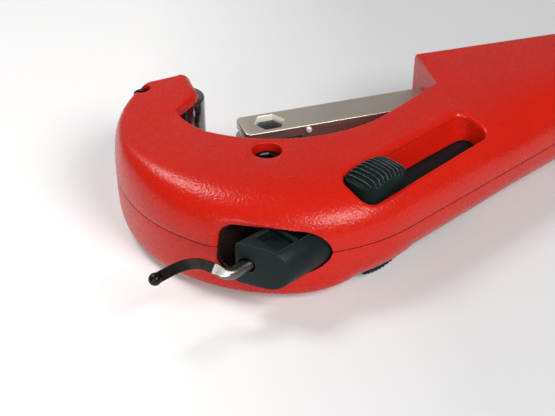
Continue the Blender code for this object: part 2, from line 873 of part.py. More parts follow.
def thumb_button(name, sign, black):
    """Barrel-shaped, cross-ribbed button; its outline follows the slot."""
    half = 0.5 * BUTTON_LONG
    wide = 0.5 * BUTTON_W
    foot = RAIL_HALF + FIT
    rib = (BUTTON_LONG - 3.0) / BUTTON_RIBS
    stations = [(-half, RIB_DEEP)]
    for k in range(BUTTON_RIBS):
        s = -half + 1.5 + k * rib
        stations += [(s + 0.05 * rib, RIB_DEEP), (s + 0.3 * rib, 0.0)]
        stations += [(s + 0.7 * rib, 0.0), (s + 0.95 * rib, RIB_DEEP)]
    stations.append((half, RIB_DEEP))
    verts, faces = [], []
    for s, dip in stations:
        crown = HALF + BUTTON_PROUD - dip - BUTTON_FALL * (s / half) ** 2
        ring = [(-wide, foot), (-wide, crown - BUTTON_DOME)]
        ring += [(f * wide, crown - BUTTON_DOME * f**4) for f in (-0.86, -0.55, 0.0, 0.55, 0.86)]
        ring += [(wide, crown - BUTTON_DOME), (wide, foot)]
        verts += [slide(BUTTON_S + s, BUTTON_T + t, sign * z) for t, z in ring]
    size = len(ring)
    for i in range(len(stations) - 1):
        for k in range(size):
            j = (k + 1) % size
            faces.append([i * size + k, i * size + j, (i + 1) * size + j, (i + 1) * size + k])
    faces += [list(range(size)), list(range(len(verts) - size, len(verts)))]
    ob = add(name, verts, faces, black)
    ends = prism(name + "_ends", slot_outline(-0.01, 0.0), -2 * HALF, 2 * HALF, place=slide)
    combine(ob, ends, "INTERSECT")


def make_deburrer(black, brass, blade_steel, spring_steel):
    back = HOLDER_FRONT - HOLDER_LONG
    shape = holder_outline(HOLDER_IN, HOLDER_OUT, HOLDER_HALF, 1.0)
    slider = prism("deburrer_slider", shape, back, HOLDER_FRONT + 2.0, black, along_slide)
    shape = holder_outline(RAIL_IN, HOLDER_OUT - 0.5, RAIL_HALF, 1.0)
    rail = prism("slider_rail", shape, RAIL_BACK, back + 4, place=along_slide)
    combine(slider, rail, "UNION")
    inner, outer = HOLDER_IN - 2.0, HOLDER_OUT + 2.0
    ahead = HOLDER_FRONT + 5.0
    front = [(holder_face(inner), inner), (ahead, inner), (ahead, outer), (holder_face(outer), outer)]
    combine(slider, prism("holder_slant", front, -HALF, HALF, place=slide))

    pocket = HOLDER_IN + 2.2
    for side, base in (("top", HOLDER_HALF), ("foot", -HOLDER_HALF)):
        for k in range(2):
            start = BLADE_FROM - 12.9 - 9.0 * k
            floor = 0.68 * base
            name = f"{side}_recess_{k}"
            recess = box(name, start, start + 7.6, pocket, pocket + 9.7, floor, 2 * base, place=slide)
            combine(slider, recess)

    def shank_line(h, a, b):
        return slide(h, SHANK_T + a, b)

    root = BLADE_FROM - SHANK_LONG
    seat = holder_face(SHANK_T + BLADE_BUSH_R) - BUSH_SUNK
    socket = lathe(
        "bush_hole",
        [
            (root - 1.0, BLADE_BUSH_R + 0.2),
            (seat + FIT, BLADE_BUSH_R + 0.2),
            (seat + FIT, SHANK_R + 0.7),
            (HOLDER_FRONT + 5.0, SHANK_R + 0.7),
        ],
        shank_line,
        20,
    )
    combine(slider, socket)
    hole = SHANK_R + FIT
    lathe(
        "blade_bush",
        [(root, hole), (root, BLADE_BUSH_R), (seat, BLADE_BUSH_R), (seat, hole)],
        shank_line,
        20,
        brass,
        ring=True,
    )
    thumb_button("upper_thumb_button", 1, black)
    thumb_button("lower_thumb_button", -1, black)
    deburring_blade(root + 1.0, blade_steel)
    detent_spring(spring_steel)


def deburring_blade(root, mat):
    """A round shank that cranks out to one side and runs on parallel to itself, with a ball at its end."""
    turn = math.radians(BLADE_TURN_DEG)
    start = BLADE_FROM
    n = BLADE_LONG
    f = BLADE_OFFSET
    path = [(root, 0.0), (start + 2.0, 0.0)]
    path += bend((start + 4.0, 0.0), (start + 7.5, 0.0), (start + 0.29 * n, 0.3 * f), 4)
    radii = [SHANK_R + (ARM_R - SHANK_R) * max(0.0, k - 3) / 4 for k in range(len(path))]
    path += bend((start + 0.36 * n, 0.6 * f), (start + 0.45 * n, 0.97 * f), (start + 0.7 * n, f), 5)
    path += [(start + 0.86 * n, f)]
    radii += [ARM_R] * (len(path) - len(radii))
    for k in range(7):
        a = math.radians(120.0 - 17.0 * k)
        path.append((start + n - BALL_R + BALL_R * math.cos(a), f))
        radii.append(BALL_R * math.sin(a))
    sides = 12
    verts, faces = [], []
    for i, (s, o) in enumerate(path):
        before, after = path[max(i - 1, 0)], path[min(i + 1, len(path) - 1)]
        lean = math.atan2(after[1] - before[1], after[0] - before[0])
        for k in range(sides):
            a = 2 * math.pi * (k + 0.5) / sides
            u, v = radii[i] * math.cos(a), radii[i] * math.sin(a)
            along = s - u * math.sin(lean)
            off = o + u * math.cos(lean)
            t = SHANK_T - off * math.cos(turn) + v * math.sin(turn)
            z = off * math.sin(turn) + v * math.cos(turn)
            verts.append(slide(along, t, z))
    for i in range(len(path) - 1):
        for k in range(sides):
            j = (k + 1) % sides
            faces.append([i * sides + k, i * sides + j, (i + 1) * sides + j, (i + 1) * sides + k])
    faces.append(list(range(sides)))
    faces.append(list(range((len(path) - 1) * sides, len(path) * sides)))
    add("deburring_blade", verts, faces, mat)


def detent_spring(mat):
    """Bowed leaf that bears on the inner side of the slider's rail."""
    s0 = spring_place()[0]
    near = RAIL_IN - FIT
    upper, lower = [], []
    for k in range(13):
        f = k / 12
        t = near - SPRING_BOW * (2 * f - 1) ** 2
        upper.append((s0 + SPRING_LONG * f, t))
        lower.append((s0 + SPRING_LONG * f, t - SPRING_THICK))
    prism("detent_spring", upper + lower[::-1], -SPRING_HALF, SPRING_HALF, mat, slide)


def main():
    clear_scene()
    red = material("red_coating", (0.62, 0.02, 0.015), 0.0, 0.38)
    steel = material("dark_steel", (0.12, 0.12, 0.125), 1.0, 0.35)
    bright = material("polished_steel", (0.62, 0.62, 0.62), 1.0, 0.15)
    nickel = material("satin_nickel", (0.42, 0.39, 0.35), 1.0, 0.3)
    tool = material("tool_steel", (0.35, 0.36, 0.38), 1.0, 0.2)
    brass = material("bearing_bronze", (0.55, 0.36, 0.14), 1.0, 0.3)
    black = material("black_plastic", (0.012, 0.016, 0.018), 0.0, 0.4)
    make_body(red, steel)
    make_rollers(bright, steel)
    make_carriage(nickel, steel, tool, brass)
    make_feed(bright, brass, black)
    make_deburrer(black, brass, tool, nickel)


main()
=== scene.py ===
"""Looks of a C-frame pipe cutter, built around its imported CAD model.

Shapes are written in millimetres about the parting plane, as in the part's source, and turned to metres
when a mesh is made. X runs along the feed axis, Y towards the open side of the throat, Z up.
"""

import json
import math

import bmesh
import bpy
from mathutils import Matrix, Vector
from mathutils.bvhtree import BVHTree


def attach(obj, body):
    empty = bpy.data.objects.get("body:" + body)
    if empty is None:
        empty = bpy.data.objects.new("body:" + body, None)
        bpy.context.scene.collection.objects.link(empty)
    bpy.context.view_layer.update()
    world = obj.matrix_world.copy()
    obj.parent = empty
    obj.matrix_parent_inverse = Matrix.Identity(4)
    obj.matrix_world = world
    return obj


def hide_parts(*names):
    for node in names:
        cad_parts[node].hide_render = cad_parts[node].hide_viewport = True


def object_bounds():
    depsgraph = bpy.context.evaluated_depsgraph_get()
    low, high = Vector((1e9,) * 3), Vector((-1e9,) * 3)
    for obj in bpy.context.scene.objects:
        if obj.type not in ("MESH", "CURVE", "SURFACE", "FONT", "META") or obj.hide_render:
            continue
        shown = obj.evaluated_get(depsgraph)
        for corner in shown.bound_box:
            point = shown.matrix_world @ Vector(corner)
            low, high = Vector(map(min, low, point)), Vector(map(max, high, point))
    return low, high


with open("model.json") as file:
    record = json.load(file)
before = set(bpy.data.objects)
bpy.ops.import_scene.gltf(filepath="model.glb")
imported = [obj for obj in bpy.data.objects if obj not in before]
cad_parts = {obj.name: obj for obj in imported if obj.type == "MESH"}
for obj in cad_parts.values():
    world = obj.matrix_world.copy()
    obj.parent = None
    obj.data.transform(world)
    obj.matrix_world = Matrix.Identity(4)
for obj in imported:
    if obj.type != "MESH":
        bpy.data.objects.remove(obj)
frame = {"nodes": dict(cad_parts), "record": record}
cad_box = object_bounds()

MM = 0.001
FIT = 0.3
PART_GAP = 0.3

# Body halves
HALF = 17.0
MOUTH_X = -28.0
MOUTH_LEAN = 4.0
THROAT_X = -81.0
THROAT_Y = 22.0
THROAT_R = 53.5
RAMP_DEG = 30.0
HOOK_X = -89.5
HOOK_Y = -14.5
HOOK_R = 60.5
SPINE_DEG = 23.0
NECK_R = 17.0
NECK_LONG = 20.6
KINK = 10.0
NOTCH_X = -124.5
NOTCH_Y = 1.5
FLANK_POWER = 2.6
FLANK_TIP = 5.5
FLANK_SPINE = 31.0
FLANK_UNDER = 4.0
FLANK_ELBOW = 19.0
FLANK_BELOW = 26.0
UNDER_POWER = 4.2
UNDER_EASE = 3.5
ELBOW_SPAN = 4
RIM_R = 1.5
JAW_R = 4.5
EDGE_R = 3.0

# Guide rollers and tip
TIP_ROLLER_X = -118.8
HEEL_ROLLER_X = -120.6
ROLLER_Y = 18.2
ROLLER_R = 8.5
ROLLER_HALF = 13.0
AXLE_R = 2.6
AXLE_HALF = 15.6
TIP_X = -113.0
TIP_Y = 30.0
TIP_LOW_Y = 14.0
TIP_CORNER_R = 10.0
TIP_FLAT = 6.0
TIP_NOSE = 2.0

# Carriage
BAR_W = 14.0
BAR_H = 13.0
BAR_FRONT = -101.5
BAR_BACK = -3.0
TRAVEL_BACK = 48.0
WHEEL_X = -90.5
WHEEL_R = 12.6
WHEEL_HUB_R = 6.0
WHEEL_HUB = 2.6
BOLT_R = 2.5
HEX_AF = 9.4
HEX_DEEP = 3.0
STOP_R = 1.2
NUT_LONG = 8.0

# Feed spindle, bearing and knob
ROD_R = 4.0
COLLAR_R = 7.4
BUSH_R = 8.0
BUSH_FLANGE_R = 10.5
BUSH_FLANGE = 3.0
BUSH_LONG = 16.0
RING = 1.2
SQUARE = 6.4
KNOB_R = 17.5
KNOB_LONG = 34.0
KNOB_FLUTES = 10
FLUTE_DEEP = 1.5

# Deburrer
SLIDE_DEG = 24.5
BUTTON_INSET = 13.63
BUTTON_AHEAD = 1.43
BUTTON_S = 2.9
BUTTON_T = 0.9
BUTTON_LONG = 20.0
BUTTON_W = 12.6
BUTTON_CORNER = 4.2
BUTTON_PROUD = 2.6
BUTTON_FALL = 2.4
BUTTON_DOME = 1.6
BUTTON_RIBS = 10
RIB_DEEP = 0.7
SLIDE_TRAVEL = 42.0
HOLDER_FRONT = 52.7
HOLDER_LONG = 25.7
HOLDER_SLANT_DEG = 25.0
HOLDER_IN = -11.3
HOLDER_OUT = 5.2
HOLDER_HALF = 7.6
RAIL_BACK = -50.0
RAIL_IN = -6.5
RAIL_HALF = 6.4
BLADE_FROM = 51.5
SHANK_R = 2.0
ARM_R = 1.7
BALL_R = 2.0
SHANK_T = -7.8
SHANK_LONG = 15.0
BLADE_OFFSET = 10.45
BLADE_LONG = 29.2
BLADE_TURN_DEG = 22.0
BLADE_BUSH_R = 2.8
BUSH_SUNK = 1.0
WINDOW_SIDE = 2.15
WINDOW_R = 4.4
SPRING_LONG = 28.0
SPRING_HALF = 3.0
SPRING_BOW = 2.6
SPRING_THICK = 0.5

# Body screws: x, y, head radius, thread radius
HANDLE_SCREW_X = 44.05
HANDLE_SCREW_Y = 12.2
SCREWS = {
    "tip_screw": (-133.0, 21.5, 3.0, 1.6),
    "hook_screw": (-103.3, -35.8, 4.6, 2.4),
    "handle_screw_far": (HANDLE_SCREW_X, HANDLE_SCREW_Y, 3.8, 2.0),
    "handle_screw_near": (HANDLE_SCREW_X, -HANDLE_SCREW_Y, 3.8, 2.0),
}
HEAD_SEAT = 8.5
HEAD_HIGH = 4.2
SHANK_DEEP = 11.5

# Finer than the CAD model
SLOT_RIM = 1.8
SLOT_LEAN = 2.0
WINDOW_RIM = 1.2
SCREW_RIM = 0.5
GROUND_LONG = 5.0
GROUND_TILT_DEG = 40.0
FLOOR_LIFT = 0.13
WORLD_LIGHT = 0.09
WORLD_SEEN = 0.85
EDGE_HIGHLIGHT_R = 0.35
BOLT_HEAD = 0.6
HEAD_RISE = 1.2
TIP_HEAD_RISE = 2.4
TIP_EDGE = 2.0
JOINT_LIP = 0.15


# Materials

class Nodes:
    """A Principled material and short calls to wire its nodes."""

    def __init__(self, name, rgb, rough, metal=0.0, specular=0.5):
        self.mat = bpy.data.materials.new(name)
        self.mat.use_nodes = True
        self.tree = self.mat.node_tree
        self.shader = self.tree.nodes["Principled BSDF"]
        self.set(self.shader, "Base Color", (*rgb, 1.0))
        self.set(self.shader, "Roughness", rough)
        self.set(self.shader, "Metallic", metal)
        self.set(self.shader, "Specular IOR Level", specular)
        self.coords = self.node("ShaderNodeTexCoord").outputs["Object"]

    def node(self, kind, **values):
        made = self.tree.nodes.new(kind)
        for key, value in values.items():
            setattr(made, key, value)
        return made

    @staticmethod
    def set(node, socket, value):
        node.inputs[socket].default_value = value

    def link(self, a, b):
        self.tree.links.new(a, b)

    def stretched(self, x, y, z):
        """Object coordinates scaled on each axis."""
        made = self.node("ShaderNodeMapping")
        self.set(made, "Scale", (x, y, z))
        self.link(self.coords, made.inputs["Vector"])
        return made.outputs["Vector"]

    def noise(self, scale, detail=2.0, rough=0.5, vector=None):
        made = self.node("ShaderNodeTexNoise")
        self.set(made, "Scale", scale)
        self.set(made, "Detail", detail)
        self.set(made, "Roughness", rough)
        self.link(vector or self.coords, made.inputs["Vector"])
        return made.outputs["Fac"]

    def cells(self, scale, feature="F1"):
        made = self.node("ShaderNodeTexVoronoi", feature=feature)
        self.set(made, "Scale", scale)
        self.link(self.coords, made.inputs["Vector"])
        return made.outputs["Distance"]

    def remap(self, value, lo, hi, to_lo, to_hi):
        made = self.node("ShaderNodeMapRange")
        for socket, number in zip(("From Min", "From Max", "To Min", "To Max"), (lo, hi, to_lo, to_hi)):
            self.set(made, socket, number)
        self.link(value, made.inputs["Value"])
        return made.outputs["Result"]

    def math(self, operation, a, b):
        made = self.node("ShaderNodeMath", operation=operation)
        for socket, value in zip(made.inputs, (a, b)):
            if isinstance(value, (int, float)):
                socket.default_value = value
            else:
                self.link(value, socket)
        return made.outputs["Value"]

    def blend(self, factor, a, b):
        """Colour a where the factor is 0, b where it is 1; each a colour or a socket."""
        made = self.node("ShaderNodeMix", data_type="RGBA")
        self.link(factor, made.inputs["Factor"])
        for name, value in (("A", a), ("B", b)):
            socket = [s for s in made.inputs if s.name == name and s.type == "RGBA"][0]
            if isinstance(value, tuple):
                socket.default_value = (*value, 1.0)
            else:
                self.link(value, socket)
        return [s for s in made.outputs if s.type == "RGBA"][0]

    def colour(self, socket):
        self.link(socket, self.shader.inputs["Base Color"])

    def roughness(self, socket):
        self.link(socket, self.shader.inputs["Roughness"])

    def bump(self, height, depth, strength=1.0, under=None):
        made = self.node("ShaderNodeBump")
        self.set(made, "Strength", strength)
        self.set(made, "Distance", depth)
        self.link(height, made.inputs["Height"])
        if under is not None:
            self.link(under, made.inputs["Normal"])
        self.link(made.outputs["Normal"], self.shader.inputs["Normal"])
        return made.outputs["Normal"]

    def attribute(self, name):
        made = self.node("ShaderNodeAttribute", attribute_name=name)
        return made.outputs["Fac"]


def red_coating():
    """Powder coat: a fine pebbled grain and a slow change of tone; faces marked inside are painted near black, as
    painted shade for the hollow casting behind the deburrer's window and in the joint between the halves.
    """
    m = Nodes("red_coating_look", (0.57, 0.012, 0.004), 0.28, 0.0, 0.31)
    broad = m.noise(22.0, 3.0)
    red = m.blend(m.remap(broad, 0.3, 0.7, 0.0, 1.0), (0.545, 0.011, 0.0035), (0.60, 0.013, 0.0045))
    # painted shade: near black on the faces marked inside, the channel walls and the joint
    m.colour(m.blend(m.attribute("inside"), red, (0.020, 0.010, 0.009)))
    grain = m.noise(1300.0, 1.0, 0.4)
    pebbles = m.cells(1150.0, "SMOOTH_F1")
    height = m.math("SUBTRACT", m.math("MULTIPLY", grain, 0.9), m.math("MULTIPLY", pebbles, 0.5))
    m.bump(height, 0.00020, 0.6)
    m.roughness(m.remap(m.noise(700.0, 2.0), 0.3, 0.7, 0.24, 0.32))
    return m.mat


def moulded_black(name, rough, shine, crest_highlight=None):
    """Moulded plastic with a fine grain and paler edges, a painted highlight where the rounded normal turns from the
    flat one; an attribute may mark more painted highlight, in patches, on ridge crests.
    """
    m = Nodes(name, (0.004, 0.011, 0.012), rough, 0.0, shine)
    tone = m.noise(60.0, 3.0)
    colour = m.blend(m.remap(tone, 0.3, 0.7, 0.0, 1.0), (0.003, 0.009, 0.010), (0.006, 0.014, 0.015))
    # painted highlight: edges are paler where a rounded normal departs from the face's own normal
    rounded = m.node("ShaderNodeBevel", samples=6)
    m.set(rounded, "Radius", EDGE_HIGHLIGHT_R * MM)
    flat = m.node("ShaderNodeNewGeometry")
    agree = m.node("ShaderNodeVectorMath", operation="DOT_PRODUCT")
    m.link(rounded.outputs["Normal"], agree.inputs[0])
    m.link(flat.outputs["Normal"], agree.inputs[1])
    colour = m.blend(m.remap(agree.outputs["Value"], 0.98, 0.86, 0.0, 1.0), colour, (0.045, 0.054, 0.058))
    if crest_highlight:
        # painted highlight: paler in patches where the crest attribute is set
        patchy_highlight = m.math("MULTIPLY", m.attribute(crest_highlight), m.remap(m.noise(900.0, 3.0), 0.35, 0.65, 0.2, 1.0))
        colour = m.blend(patchy_highlight, colour, (0.24, 0.26, 0.26))
    m.colour(colour)
    m.bump(m.noise(3200.0, 2.0, 0.6), 0.00006, 0.6)
    m.roughness(m.remap(m.noise(240.0, 3.0), 0.3, 0.7, rough - 0.06, rough + 0.08))
    return m.mat


def brushed(name, rgb, rough, along, depth=0.00002):
    """Metal with fine lines along one axis and a slow change of tone."""
    m = Nodes(name, rgb, rough, 1.0)
    fine = [5200.0, 5200.0, 5200.0]
    fine["XYZ".index(along)] = 60.0
    lines = m.noise(1.0, 3.0, 0.6, m.stretched(*fine))
    tone = m.noise(70.0, 3.0)
    dark = tuple(0.86 * c for c in rgb)
    light = tuple(min(1.0, 1.1 * c) for c in rgb)
    m.colour(m.blend(m.remap(tone, 0.3, 0.7, 0.0, 1.0), dark, light))
    m.roughness(m.remap(lines, 0.3, 0.7, rough - 0.06, rough + 0.08))
    m.bump(lines, depth, 0.35)
    return m.mat


def milled_nickel(name, rgb, rough):
    """Satin plate with painted light: the hexagon pocket's upright walls are paler and less metallic, a painted
    highlight of the lamp's reflection; the bar's other upright sides are a darker grey-green, painted shade and
    reflection, and smoother.
    """
    m = Nodes(name, rgb, rough, 0.85)
    pocket_highlight, side = m.attribute("pocket_highlight"), m.attribute("side")
    tone = m.noise(70.0, 3.0)
    dark = tuple(0.93 * c for c in rgb)
    light = tuple(1.05 * c for c in rgb)
    plate = m.blend(m.remap(tone, 0.3, 0.7, 0.0, 1.0), dark, light)
    # painted shade and reflection: dark grey-green on the bar's upright sides
    plate = m.blend(side, plate, (0.36, 0.37, 0.33))
    # painted highlight: pale cream on the pocket walls
    m.colour(m.blend(pocket_highlight, plate, (0.95, 0.92, 0.84)))
    shiny = m.math("SUBTRACT", m.remap(side, 0.0, 1.0, 0.85, 0.84), m.math("MULTIPLY", pocket_highlight, 0.6))
    m.link(shiny, m.shader.inputs["Metallic"])
    lines = m.noise(1.0, 3.0, 0.6, m.stretched(60.0, 5200.0, 5200.0))
    m.roughness(m.math("SUBTRACT", m.remap(lines, 0.3, 0.7, rough - 0.05, rough + 0.06), m.math("MULTIPLY", side, 0.16)))
    m.bump(lines, 0.00001, 0.25)
    return m.mat


def turned(name, rgb, rough, metal=1.0):
    """Lathe-turned metal: faint even mottling, no direction."""
    m = Nodes(name, rgb, rough, metal)
    tone = m.noise(160.0, 4.0, 0.6)
    m.colour(
        m.blend(m.remap(tone, 0.3, 0.7, 0.0, 1.0), tuple(0.85 * c for c in rgb), tuple(1.08 * c for c in rgb))
    )
    m.roughness(m.remap(m.noise(420.0, 3.0), 0.3, 0.7, rough - 0.04, rough + 0.07))
    m.bump(m.noise(2600.0, 2.0), 0.00001, 0.3)
    return m.mat


def blade_steel():
    """Heat-treated steel: the bare attribute runs from the dark arm over the plain shank to the fresh grinding."""
    m = Nodes("blade_steel_look", (0.03, 0.028, 0.024), 0.36, 1.0)
    bare = m.attribute("bare")
    tone = m.remap(m.noise(300.0, 4.0, 0.6), 0.3, 0.7, 0.0, 1.0)
    dark = m.blend(tone, (0.022, 0.021, 0.018), (0.040, 0.037, 0.031))
    m.colour(m.blend(m.math("MULTIPLY", bare, bare), dark, (0.86, 0.84, 0.80)))
    rough = m.remap(m.noise(900.0, 3.0), 0.3, 0.7, 0.30, 0.40)
    m.roughness(m.math("SUBTRACT", rough, m.math("MULTIPLY", bare, 0.06)))
    m.link(m.remap(bare, 0.6, 1.0, 1.0, 0.6), m.shader.inputs["Metallic"])
    m.bump(m.noise(2400.0, 3.0), 0.00002, 0.4)
    return m.mat


def make_materials():
    return {
        "red_coating": red_coating(),
        "black_plastic": moulded_black("black_plastic_look", 0.46, 0.21),
        "ridged_plastic": moulded_black("ridged_plastic_look", 0.46, 0.07, "crest_highlight"),
        "satin_nickel": milled_nickel("satin_nickel_look", (0.70, 0.63, 0.54), 0.40),
        # the stop pin: near white and only partly metallic, a painted glint
        "painted_glint_stud": turned("painted_glint_stud_look", (0.94, 0.93, 0.90), 0.27, 0.35),
        "polished_steel": turned("polished_steel_look", (0.66, 0.66, 0.66), 0.13),
        "dark_steel": turned("dark_steel_look", (0.11, 0.115, 0.12), 0.33),
        "roller_steel": turned("roller_steel_look", (0.30, 0.295, 0.30), 0.15),
        "black_oxide": turned("black_oxide_look", (0.035, 0.040, 0.045), 0.30),
        "tool_steel": brushed("tool_steel_look", (0.46, 0.47, 0.49), 0.22, "Z"),
        "bearing_bronze": turned("bearing_bronze_look", (0.55, 0.36, 0.15), 0.30),
        "blade_steel": blade_steel(),
    }


LOOKS = make_materials()


# Mesh helpers

def finish_mesh(ob, slot, sharp_deg=34.0, look=None):
    """Smooth shading with hard edges where faces meet at more than an angle, and the look of a slot."""
    bm = bmesh.new()
    bm.from_mesh(ob.data)
    limit = math.radians(sharp_deg)
    for face in bm.faces:
        face.smooth = True
    for edge in bm.edges:
        edge.smooth = len(edge.link_faces) == 2 and edge.calc_face_angle(0.0) < limit
    bm.to_mesh(ob.data)
    bm.free()
    ob.data.materials.clear()
    ob.data.materials.append(LOOKS[look or slot])


def add(name, verts, faces):
    bm = bmesh.new()
    made = [bm.verts.new((x * MM, y * MM, (z + HALF) * MM)) for x, y, z in verts]
    for face in faces:
        bm.faces.new([made[i] for i in face])
    bmesh.ops.recalc_face_normals(bm, faces=bm.faces)
    mesh = bpy.data.meshes.new(name)
    bm.to_mesh(mesh)
    bm.free()
    ob = bpy.data.objects.new(name, mesh)
    bpy.context.scene.collection.objects.link(ob)
    return ob


def plan(u, v, w):
    return u, v, w


def on_spine(along, inwards=0.0):
    """A point on the spine's outer edge, counted from its start at the hook, or inside that edge."""
    a = math.radians(SPINE_DEG)
    return (
        HOOK_X + (HOOK_R - inwards) * math.sin(a) + along * math.cos(a),
        HOOK_Y - (HOOK_R - inwards) * math.cos(a) + along * math.sin(a),
    )


def spine_length():
    return (-NECK_R - on_spine(0.0)[1]) / math.sin(math.radians(SPINE_DEG))


def handle_end():
    return on_spine(spine_length())[0] + NECK_LONG


def slide(s, t, z):
    """Slider frame: s outwards from the button, t towards the outer side of the body, z up."""
    a = math.radians(SLIDE_DEG)
    x, y = on_spine(-BUTTON_AHEAD, BUTTON_INSET)
    return x - s * math.cos(a) + t * math.sin(a), y - s * math.sin(a) - t * math.cos(a), z


def along_slide(t, z, s):
    return slide(s, t, z)


def shank_line(h, a, b):
    return slide(h, SHANK_T + a, b)


def end_on(u, v, w):
    return w, u, v


def lengthways(h, a, b):
    return h, a, b


def upright(x, y):
    return lambda h, a, b: (x + a, y + b, h)


def prism(name, outline, lo, hi, place=plan):
    n = len(outline)
    verts = [place(u, v, lo) for u, v in outline] + [place(u, v, hi) for u, v in outline]
    faces = [[i, (i + 1) % n, n + (i + 1) % n, n + i] for i in range(n)]
    faces += [list(range(n)), list(range(n, 2 * n))]
    return add(name, verts, faces)


def box(name, u0, u1, v0, v1, w0, w1, place=plan):
    return prism(name, [(u0, v0), (u1, v0), (u1, v1), (u0, v1)], w0, w1, place)


def loft(name, rings, closed=False):
    """Skin over rings of equal length, with flat ends unless the last ring joins the first."""
    size = len(rings[0])
    verts = [p for ring in rings for p in ring]
    faces = []
    pairs = [(i, i + 1) for i in range(len(rings) - 1)]
    if closed:
        pairs.append((len(rings) - 1, 0))
    else:
        faces.append(list(range(size)))
        faces.append(list(range((len(rings) - 1) * size, len(rings) * size)))
    for i, j in pairs:
        for k in range(size):
            m = (k + 1) % size
            faces.append([i * size + k, i * size + m, j * size + m, j * size + k])
    return add(name, verts, faces)


def lathe(name, profile, place, sides=72, ring=False):
    rings = []
    for h, r in profile:
        turn = [2 * math.pi * (i + 0.5) / sides for i in range(sides)]
        rings.append([place(h, r * math.cos(a), r * math.sin(a)) for a in turn])
    return loft(name, rings, ring)


def rod(name, lo, hi, r, place, sides=48):
    return lathe(name, [(lo, r), (hi, r)], place, sides)


def hexagon(x, y, across):
    r = across / math.sqrt(3)
    turn = [k * math.pi / 3 for k in range(6)]
    return [(x + r * math.cos(a), y + r * math.sin(a)) for a in turn]


def baked(ob):
    """Replaces an object's mesh by what its modifiers make of it."""
    bpy.context.view_layer.update()
    graph = bpy.context.evaluated_depsgraph_get()
    mesh = bpy.data.meshes.new_from_object(ob.evaluated_get(graph))
    ob.modifiers.clear()
    ob.data = mesh
    return ob


def combine(ob, cutters, operation="DIFFERENCE"):
    for cutter in cutters:
        mod = ob.modifiers.new(cutter.name, "BOOLEAN")
        mod.operation = operation
        mod.solver = "EXACT"
        mod.object = cutter
    baked(ob)
    return ob


def drop(cutters):
    for cutter in cutters:
        bpy.data.objects.remove(cutter, do_unlink=True)


def bevelled(ob, width, segments=3, limit_deg=40.0):
    mod = ob.modifiers.new("bevel", "BEVEL")
    mod.width = width * MM
    mod.segments = segments
    mod.limit_method = "ANGLE"
    mod.angle_limit = math.radians(limit_deg)
    mod.harden_normals = False
    return baked(ob)


def arc(x, y, r, a0, a1, steps=48):
    turn = [math.radians(a0 + (a1 - a0) * i / steps) for i in range(steps + 1)]
    return [(x + r * math.cos(a), y + r * math.sin(a)) for a in turn]


def bend(p, q, r, steps=24):
    """A quadratic curve from p to r that heads for q."""
    out = []
    for i in range(steps + 1):
        t = i / steps
        out.append(
            tuple((1 - t) ** 2 * a + 2 * t * (1 - t) * b + t * t * c for a, b, c in zip(p, q, r))
        )
    return out


def spread(points, steps):
    """steps + 1 points evenly spaced along a polyline."""
    runs = [0.0]
    for p, q in zip(points, points[1:]):
        runs.append(runs[-1] + math.dist(p, q))
    out, k = [], 0
    for i in range(steps + 1):
        want = runs[-1] * i / steps
        while k < len(runs) - 2 and runs[k + 1] < want:
            k += 1
        f = (want - runs[k]) / max(runs[k + 1] - runs[k], 1e-9)
        out.append(tuple(a + (b - a) * f for a, b in zip(points[k], points[k + 1])))
    return out


def quarter(steps):
    return [0.5 * math.pi * k / steps for k in range(steps + 1)]


# Body

